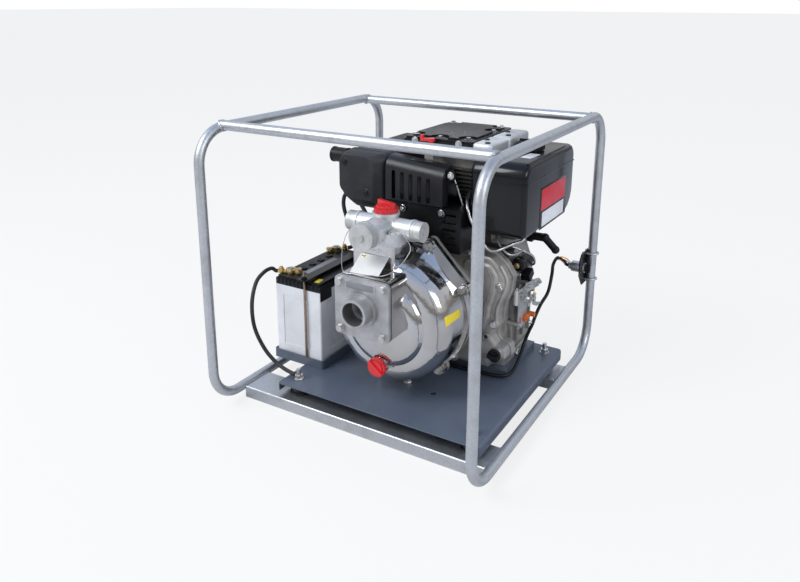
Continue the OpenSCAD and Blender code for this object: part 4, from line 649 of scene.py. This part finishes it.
for number, (knobX, knobZ) in enumerate(cleaner["knobs"]):
    at = seat((knobX, cleaner["washerY"], knobZ), "front")
    lathe(f"airCleanerWasher.{number}", [(9, 0), (9.4, 0.4), (8.6, 1.0), (5, 1.0)], at, blackLabel)
    screwHead(f"airCleanerNut.{number}", (knobX, cleaner["nutY"], knobZ), "front", 8.5, 2.2, 0.0,
              finishes["black_paint"])

tank = {"left": 139, "width": 126, "front": -15, "depth": 306, "high": 562, "seamZ": 519.5, "seamOver": 3,
        "side": ((-15, 402, 18), (291, 402, 56), (291, 562, 30), (-15, 562, 30)), "panelX": 265.0,
        "labelX": 265.6, "panel": (70, 240, 404, 498), "red": (76, 230, 445.5, 493), "white": (84, 223, 409,
                                                                                               441),
        "topLabel": (233, 84, 24, 50), "rib": (258, 561.6)}
tankFinish = blackFinish("tankBlack", 0.14, 0.04, coat=0.1, tone=0.004)
tankBody = slab("fuelTankShell", lambda d: filleted(tank["side"], d),
                [(9, 0), (4, 1.5), (1, 5), (0, 9), (0, 114), (1, 118),
                 (3.4, 122.6), (7.4, 125), (11, 126)], seat((tank["left"], 0, 0), "right"), tankFinish,
                 angle=50)
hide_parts("fuel_tank")
tankMiddle = (tank["left"] + tank["width"] / 2, tank["front"] + tank["depth"] / 2)
seamW, seamD = tank["width"] + tank["seamOver"], tank["depth"] + tank["seamOver"]
slab("fuelTankSeam", lambda d: roundRect(seamW - 2 * d, seamD - 2 * d, 12),
     [(1.2, 0), (0, 0.8), (0, 2.4), (1.2, 3.2)], seat((*tankMiddle, tank["seamZ"]), "top"), tankFinish)


def sideCard(name, box, thick, x, material, radius=2.0):
    y0, y1, z0, z1 = box
    at = seat((x, (y0 + y1) / 2, (z0 + z1) / 2), "right")
    return card(name, y1 - y0, z1 - z0, thick, at, material, radius)


sideCard("tankPanel", tank["panel"], 0.6, tank["panelX"], tankFinish, 4)
sideCard("tankRedLabel", tank["red"], 0.3, tank["labelX"], redLabel)
sideCard("tankWhiteLabel", tank["white"], 0.3, tank["labelX"], whiteLabel)
labelX, labelY, labelW, labelD = tank["topLabel"]
card("tankTopLabel", labelW, labelD, 0.4, seat((labelX, labelY, tank["high"]), "top", -4), whiteLabel)
ribX, ribZ = tank["rib"]
tubeAlong("tankTopRib", [Vector((ribX, y, ribZ)) * mm for y in range(6, 240, 6)], 2.0, tankFinish, sides=10)
say("air cleaner and tank built")


def applied(obj):
    # keeps what the modifiers make, and drops them
    bpy.context.view_layer.update()
    baked = bpy.data.meshes.new_from_object(obj.evaluated_get(bpy.context.evaluated_depsgraph_get()))
    obj.modifiers.clear()
    obj.data = baked
    return obj


guard = {"x": (-50, 91), "y": -45, "low": 458, "high": (553, 540), "bend": 20, "back": -3, "slots": 5,
         "first": -29.7, "pitch": 21.55, "slot": (466, 521), "slotR": 4.8, "drop": 9, "sheet": 2,
         "lug": (98, -26, 525), "slotShadeAt": (20, -28.5, 503), "cowlAt": (42.5, 6, 454.6)}


def guardProfile(t):
    top = guard["high"][0] + (guard["high"][1] - guard["high"][0]) * t
    out = [(guard["y"], guard["low"]), (guard["y"], (guard["low"] + top) / 2)]
    for k in range(11):
        a = math.radians(9 * k)
        out.append((guard["y"] + guard["bend"] * (1 - math.cos(a)),
                    top - guard["bend"] * (1 - math.sin(a)) - 6 * (1 - k / 10)))
    return out + [(-14, top + 0.6), (guard["back"], top + 1.0)]


guardFinish = blackFinish("guardPaint", 0.3, tone=0.014)
guardLeft, guardRight = guard["x"]
guardRows = [[(guardLeft + (guardRight - guardLeft) * k / 10, y, z) for y, z in guardProfile(k / 10)]
             for k in range(11)]
guardSheet = meshPiece("mufflerGuardSheet", stackRings(guardRows, False, False, False), guardFinish,
                       at=Matrix.Scale(mm, 4))
thick = guardSheet.modifiers.new("thickness", "SOLIDIFY")
thick.thickness = guard["sheet"] * mm
thick.offset = 0
cutters = bmesh.new()
for k in range(guard["slots"]):
    x = guard["first"] + k * guard["pitch"]
    low, high = (z - guard["drop"] * k / 4 * (1 if z > 500 else 0) for z in guard["slot"])
    turns = [math.pi * j / 8 for j in range(9)] + [math.pi * (1 + j / 8) for j in range(9)]
    ends = [(x + guard["slotR"] * math.cos(a), (high if i < 9 else low) + guard["slotR"] * math.sin(a))
            for i, a in enumerate(turns)]
    front = [cutters.verts.new(Vector((px, guard["y"] - 8, pz)) * mm) for px, pz in ends]
    back = [cutters.verts.new(Vector((px, guard["y"] + 8, pz)) * mm) for px, pz in ends]
    for i in range(len(ends)):
        j = (i + 1) % len(ends)
        cutters.faces.new((front[i], front[j], back[j], back[i]))
    cutters.faces.new(front)
    cutters.faces.new(list(reversed(back)))
cutterObj = meshPiece("slotCutters", cutters, body=None)
hole = guardSheet.modifiers.new("slots", "BOOLEAN")
hole.object = cutterObj
hole.solver = "EXACT"
applied(guardSheet)
bpy.data.objects.remove(cutterObj)
guardSheet.data.set_sharp_from_angle(angle=math.radians(30))
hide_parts("muffler_guard")
for x, t in ((guardLeft, 0), (guardRight - guard["sheet"], 1)):
    profile = guardProfile(t)
    flange = profile + [(-3, profile[-1][1] - 14), (-22, guard["low"] + 12), (-22, guard["low"])]
    slab(f"guardFlange.{t}", flange, [(0, 0), (0, 2)], seat((x, 0, 0), "right"), guardFinish, angle=30)
slab("guardLug", roundRect(26, 20, 4), [(0, 0), (0, 2.4)], seat(guard["lug"], "front"),
     finishes["black_paint"])
# near-black card behind the guard: painted shade seen through the slots
slab("guardSlotShade", roundRect(150, 92, 4), [(0, 0), (0, 1)], seat(guard["slotShadeAt"], "front"),
     blackFinish("paintedSlotShade", 0.7, tone=0.002))
slab("cowlTop", roundRect(180, 96, 8), [(0, 0), (0, 1.6)], seat(guard["cowlAt"], "top"),
     finishes["black_paint"])
fixings = {"cowlScrew": ((-5, -47.8, 443.7), (89.9, -47.8, 445.2)),
           "coverScrew": ((-12.9, 18.6, 582.6), (94.4, 18.6, 583.5)), "guardScrew": ((100.5, -28.4, 525.1),)}
for kind, places in fixings.items():
    for number, place in enumerate(places):
        screwHead(f"{kind}.{number}", place, "front", 9, 4.5, 8, turn=17 * number)
say("guard, cowl and their screws built")

alloy = finishes["cast_aluminium"]
plated = finishes["plated_steel"]
gearCase = {"rear": 45, "block": (-66, 204, 84, 340), "blockRear": 214.9, "flangeRear": 54.3,
            "boltY": 4.4, "footTop": 92, "sideRibZ": 190,
            "outline": ((-60, 84, 28), (-90, 150, 40), (-90, 300, 60), (-30, 356, 40), (150, 356, 24),
                        (187, 352, 18), (209, 331, 18), (228, 303, 13), (224, 269, 16), (212, 240, 14),
                        (209, 208, 12), (212, 195, 8), (200, 180, 9), (196, 163, 12), (206, 150, 10),
                        (228, 143, 14), (232, 115, 16), (214, 98, 14), (196, 96, 10), (190, 82, 12))[::-1],
            "raised": ((120, 336, 10), (186, 330, 14), (202, 306, 12), (196, 262, 20), (187, 236, 14),
                       (184, 206, 14), (172, 176, 12), (130, 164, 14))[::-1],
            "bolts": ((208, 284), (197, 196), (187, 110), (99.6, 93), (134.6, 344), (-17, 341), (-73, 265),
                      (-73, 175)),
            "feet": ((-65, 73), (-65, 185), (187, 73), (187, 185)), "plug": (205, 120, 83),
            "deckAt": (55, 130, 338), "feetAt": (62, 130, 74.2), "sideRibs": (74, 112, 150, 188),
            "posts": ((66, 251), (66, 179), (116, 262)), "neck": (206, 8, 128), "hole": (180, 3.5, 163),
            "ribs": (((206, 7.5, 332), (223, 7.5, 300), (213, 7.5, 264), (203, 7.5, 236), (201, 7.5, 210),
                      (204, 7.5, 196)),
                     ((178, 4, 322), (190, 4, 298), (184, 4, 262), (176, 4, 234), (174, 4, 206), (164, 4,
                                                                                                  184)))}
caseAt = seat((0, gearCase["rear"], 0), "front")
gearCover = slab("gearCaseCoverShell", lambda d: filleted(gearCase["outline"], d),
                 [(0, 0), (0, 9), (1, 10), (4.5, 10.2), (5, 12), (5, 33), (6, 37), (9, 39.4), (13, 40)],
                 caseAt,
                 alloy, angle=34)
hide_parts("gear_case_cover")
slab("gearCaseRaised", lambda d: filleted(gearCase["raised"], d),
     [(-5, 38.6), (-2, 40), (0, 42), (2, 44), (6, 44.6)], caseAt, alloy, angle=50)
crankFlange = slab("crankcaseFlange", lambda d: filleted(gearCase["outline"], d),
                   [(1, 0), (0, 0.6), (0, 8.4), (1, 9)], seat((0, gearCase["flangeRear"], 0), "front"), alloy,
                   angle=34)
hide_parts("crankcase")
left, right, low, high = gearCase["block"]
blockCorners = ((left, low, 26), (right, low, 22), (right, high - 60, 20), (right - 22, high, 16), (left,
                                                                                                    high, 26))
slab("crankcaseBlock", lambda d: filleted(blockCorners, d), [(4, 0), (1, 1.5), (0, 5), (0, 162)],
     seat((0, gearCase["blockRear"], 0), "front"), alloy, angle=40)
slab("crankcaseDeck", roundRect(142, 150, 10), [(0, 0), (0, 22)], seat(gearCase["deckAt"], "top"), alloy)
slab("crankcaseFeet", lambda d: roundRect(290 - 2 * d, 150 - 2 * d, 12), [(0, 0), (0, 16), (2, 18)],
     seat(gearCase["feetAt"], "top"), alloy)
for number, y in enumerate(gearCase["sideRibs"]):
    slab(f"crankcaseRib.{number}", roundRect(5, 150, 2), [(0, 0), (0, 8)], seat((right - 1, y,
                                                                                 gearCase["sideRibZ"]),
                                                                                 "right"),
         alloy)
for number, (y, z) in enumerate(gearCase["posts"]):
    lathe(f"governorPost.{number}", [(8, 0), (6, 8), (6, 33)], seat((right - 4, y, z), "right"), alloy,
          steps=24)
for number, stops in enumerate(gearCase["ribs"]):
    tubeAlong(f"gearCaseRib.{number}", smoothRoute(stops, 6), 4.2, alloy, sides=12)
for number, (x, z) in enumerate(gearCase["bolts"]):
    at = seat((x, gearCase["rear"], z), "front")
    lathe(f"gearCaseBoss.{number}", [(12, 0), (12, 39.5), (11, 40.6), (9, 40.8)], at, alloy)
    head = screwHead(f"gearCaseBolt.{number}", (x, gearCase["boltY"], z), "front", 13, 5.5, 8.4,
                     turn=23 * number)
    if number == 0:
        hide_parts("engine_bolts")
for number, (x, y) in enumerate(gearCase["feet"]):
    screwHead(f"footBolt.{number}", (x, y, gearCase["footTop"]), "top", 17, 7.5, 12, turn=19 * number)
screwHead("sumpPlug", gearCase["plug"], "right", 16, 7, 10)
lathe("gearCaseNeck", [(15, 0), (15, 8), (14, 10), (14, 11.5), (9, 11.5), (9, 0)],
      seat(gearCase["neck"], "front"), alloy)
lathe("gearCaseHole", [(9, -4), (9, 2), (7.5, 3), (5, 3), (4.4, 1), (4.4, -3)], seat(gearCase["hole"],
                                                                                     "front"),
      alloy)
holeX, holeY, holeZ = gearCase["hole"]
# black disc just inside the hole: painted shade in the hole
lathe("gearCaseHole.paintedShade", [(4.4, 0), (4.4, 0.6)], seat((holeX, holeY - 0.5, holeZ), "front"), blackLabel,
      steps=20)

whitePlastic = plasticFinish("agedPlastic", (0.66, 0.66, 0.62), 0.4, 0.05)
governor = {"x": 245.5,
            "plates": {"crossPlate": {"lift": 0, "high": 2.5, "outline": (
                           (58, 268), (64, 262), (88, 258), (140, 251), (150, 262), (139, 270), (112, 276),
                           (60, 284))},
                       "pointer": {"lift": 3, "high": 2.0, "outline": (
                           (98, 220), (124, 207), (150, 205), (151, 208), (126, 216), (101, 231))}},
            "bolts": ((67, 246, 9), (70, 274, 8), (104, 233, 11), (118, 262, 8), (138, 261, 7), (88, 181, 7)),
            "spring": ((247.5, 72, 226), (247.5, 118, 240)), "coilR": 0.0032, "coilTurn": 0.52,
            "canister": (225, 62, 226), "connector": (214, 121, 281),
            "tags": (("governorTag", (9, 7), (248.4, 108, 250), 30, yellowFinish),
                     ("governorTag.red", (5, 5), (248.4, 92, 245), 30, redLabel),
                     ("governorTag.low", (6, 14), (234.4, 66, 190), 0, redLabel))}
for kind, plate in governor["plates"].items():
    slab(f"governor.{kind}", plate["outline"], [(0, 0), (0, plate["high"])],
         seat((governor["x"] + plate["lift"], 0, 0), "right"), plated, angle=20)
for number, (y, z, across) in enumerate(governor["bolts"]):
    screwHead(f"governorBolt.{number}", (governor["x"] + 2, y, z), "right", across, 5, across * 0.7,
              turn=11 * number)
springFrom, springTo = (Vector(p) * mm for p in governor["spring"])
coil = []
for k in range(217):
    turn = k * governor["coilTurn"]
    coil.append(springFrom.lerp(springTo, k / 216) + Vector((math.cos(turn), 0,
                                                             math.sin(turn))) * governor["coilR"])
tubeAlong("governorSpring", coil, 0.6, plated, sides=6)
lathe("governorCanister", [(5, 0), (6.2, 1), (6.2, 33), (5.6, 35), (3, 36), (3, 40)],
      seat(governor["canister"], "top"), whitePlastic)
slab("governorConnector", roundRect(26, 20, 3), [(0, 0), (0, 14), (0, 22)],
     seat(governor["connector"], "right", 28), finishes["black_plastic"])
for tagName, (w, h), place, turn, tagFinish in governor["tags"]:
    card(tagName, w, h, 0.4, seat(place, "right", turn), tagFinish)
say("gear case and speed control dressed")

injection = {"barrel": (216, 140, 312), "nut": (216, 82, 312), "bracketX": 207,
             "bracket": ((96, 268), (152, 268), (158, 300), (128, 318), (100, 306)),
             "bolts": ((106, 280), (146, 280), (128, 308)),
             "lines": (((216, 118, 332), (222, 96, 346), (226, 60, 350), (214, 34, 352), (190, 34, 372),
                        (176, 48, 398)),
                       ((222, 128, 300), (238, 128, 306), (240, 110, 330), (226, 88, 346), (206, 74, 356))),
             "leak": ((84, 2, 532), (99, 0, 503), (113, 0, 467), (124, 0, 436)), "banjo": (84, 6, 533)}
lathe("injectionBarrel", [(13, 0), (17, 2), (17, 44), (15, 47), (15, 56), (11, 58)],
      seat(injection["barrel"], "front"), finishes["black_paint"])
lathe("injectionNut", [(6.5, 0), (6.5, 5), (4.5, 6), (4.5, 10), (2, 10.6)], seat(injection["nut"], "front"),
      finishes["brass"], steps=6)
slab("injectionBracket", injection["bracket"], [(0, 0), (0, 3)], seat((injection["bracketX"], 0, 0), "right"),
     plated, angle=20)
for number, (y, z) in enumerate(injection["bolts"]):
    screwHead(f"injectionBolt.{number}", (injection["bracketX"] + 3, y, z), "right", 10, 5, 7,
              turn=17 * number)
for number, stops in enumerate(injection["lines"]):
    tubeAlong(f"injectionLine.{number}", smoothRoute(stops, 8), 2.6, finishes["bare_steel"], sides=10)
tubeAlong("leakLine", smoothRoute(injection["leak"], 8), 2.6, plated, sides=10)
lathe("leakLineBanjo", [(4, 0), (5.5, 0.8), (5.5, 7), (4, 8)], seat(injection["banjo"], "front"), plated)
headDetail = {"fins": 7, "first": 468, "pitch": 9, "finAt": (74, 53.5), "castZ": 556.3,
              "casts": ((151.5, 59.5, 46, 96), (151.5, 169, 46, 117)), "plugZ": 591.5,
              "plugs": ((160, 24), (141, 62), (160, 134), (141, 176)),
              "screws": ((-24, 45), (40.5, 37), (103, 49), (-22, 224), (105, 224), (109, 170))}
for number, (x, y) in enumerate(headDetail["plugs"]):
    lathe(f"rockerPlug.{number}", [(5.5, 0), (6.2, 0.6), (5.4, 2.4), (2, 3)],
          seat((x, y, headDetail["plugZ"]), "top"), finishes["black_plastic"], steps=24)
# near-black slabs across the cast head: painted shade between its cooling fins
paintedFinShade = castFinish("paintedFinShade", (0.09, 0.085, 0.08), 0.5, 0.5, 0.4)
for k in range(headDetail["fins"]):
    finZ = headDetail["first"] + headDetail["pitch"] * k
    slab(f"headFinShade.{k}", roundRect(84, 14, 2), [(0, 0), (0, 2.6)], seat((*headDetail["finAt"], finZ), "top"),
         paintedFinShade)
for number, (x, y, w, d) in enumerate(headDetail["casts"]):
    slab(f"rockerCast.{number}", lambda inset: roundRect(w - 2 * inset, d - 2 * inset, 9 - inset),
         [(0, 0), (0, 28), (0.7, 31), (2.2, 33.2), (4.5, 34.7), (7, 35.2)],
         seat((x, y, headDetail["castZ"]), "top"), silverCast, angle=50)
topCover = nodes["muffler_top_cover"]
for number, (x, y) in enumerate(headDetail["screws"]):
    found, where, normal, face = topCover.ray_cast(Vector((x + 7, y, 640)) * mm, Vector((0, 0, -1)))
    place = (x, y, where.z / mm if found else 590)
    screwHead(f"topCoverScrew.{number}", place, "top", 9, 4, 8.5, turn=13 * number)
say("injection gear and head dressed")


def twoTone(node, material, test):
    # a second finish on the faces of a node that pass the test
    mesh = nodes[node].data
    mesh.materials.append(material)
    for polygon in mesh.polygons:
        if test(polygon.center):
            polygon.material_index = len(mesh.materials) - 1


battery = {"barLow": 0.2655, "barHigh": 0.2805, "sideX": -159.9, "sideLabel": (-126.5, 235.5, 43, 24),
           "lid": (-224.5, -29, 265), "vents": 6, "ventPitch": 33.6, "comb": 11, "combPitch": 11,
           "boot": ((-241, 99, 288), (-239.4, 101, 300), (-240, 97, 318), (-244, 93, 334))}
labelY, labelZ, labelW, labelH = battery["sideLabel"]
card("batterySideLabel.0", labelW, labelH, 0.4, seat((battery["sideX"], labelY, labelZ), "right"), blackLabel)
twoTone("battery_hold_down", platedFinish("rustyRod", (0.36, 0.27, 0.2)),
        lambda p: p.z < battery["barLow"] or p.z > battery["barHigh"])
lidX, lidY, lidZ = battery["lid"]
card("batteryLidLabel", 44, 120, 0.4, seat((lidX + 4, lidY - 14, lidZ), "top"), batteryGrey, 3)
card("batteryLidWarning", 12, 22, 0.4, seat((lidX + 46, lidY - 98, lidZ), "top", 8), yellowFinish, 1)
for number in range(battery["vents"]):
    at = seat((lidX - 34, lidY - 84 + battery["ventPitch"] * number, lidZ), "top")
    lathe(f"batteryVent.{number}", [(8.5, 0), (9, 0.5), (9, 2.2), (8, 3), (5, 3), (4.4, 2.2)], at,
          finishes["black_plastic"], steps=28)
for number in range(battery["comb"]):
    at = seat((lidX - 55 + battery["combPitch"] * number, lidY - 119.4, lidZ - 10), "front")
    card(f"batteryComb.{number}", 3.2, 14, 1.2, at, finishes["black_plastic"], 0.8)
tubeAlong("positiveBoot", smoothRoute(battery["boot"], 6), 6.6, redLabel, sides=16)
say("battery dressed")

switchPiece = {"sheet": (0.2962, 0.2993), "ring": (299.3, 305, 252), "sleeve": (290, 305, 252), "wires": (
    ("switchWire.red", redLabel, ((266, 303, 256), (256, 300, 264), (246, 292, 270), (240, 284, 271))),
    ("switchWire.yellow", yellowFinish, ((266, 308, 257), (258, 306, 266), (248, 296, 273), (241, 285, 274))),
    ("switchWire.white", whitePlastic, ((266, 306, 247), (257, 303, 252), (247, 294, 264), (240, 283, 268))))}
sheetNear, sheetFar = switchPiece["sheet"]
twoTone("switch_plate", plated, lambda p: not sheetNear < p.x < sheetFar)
for wireName, wireFinish, stops in switchPiece["wires"]:
    tubeAlong(wireName, smoothRoute(stops, 6), 1.3, wireFinish, sides=8)
lathe("keyBarrelRing", [(10.5, 0), (12.6, 0.6), (12.6, 5), (10.5, 5.6)], seat(switchPiece["ring"], "right"),
      plated)
lathe("keyBarrelSleeve", [(13.3, 0), (13.4, 1), (13.4, 17), (13.3, 18)], seat(switchPiece["sleeve"], "left"),
      plated)

starterLine = [Vector((150 + 43 * k / 20, 250.3, 330)) * mm for k in range(21)]
rope = tubeAlong("starterRope", starterLine, 2.2, whitePlastic, body=None, sides=10)
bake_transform(rope)
say("switch and starter rope dressed")
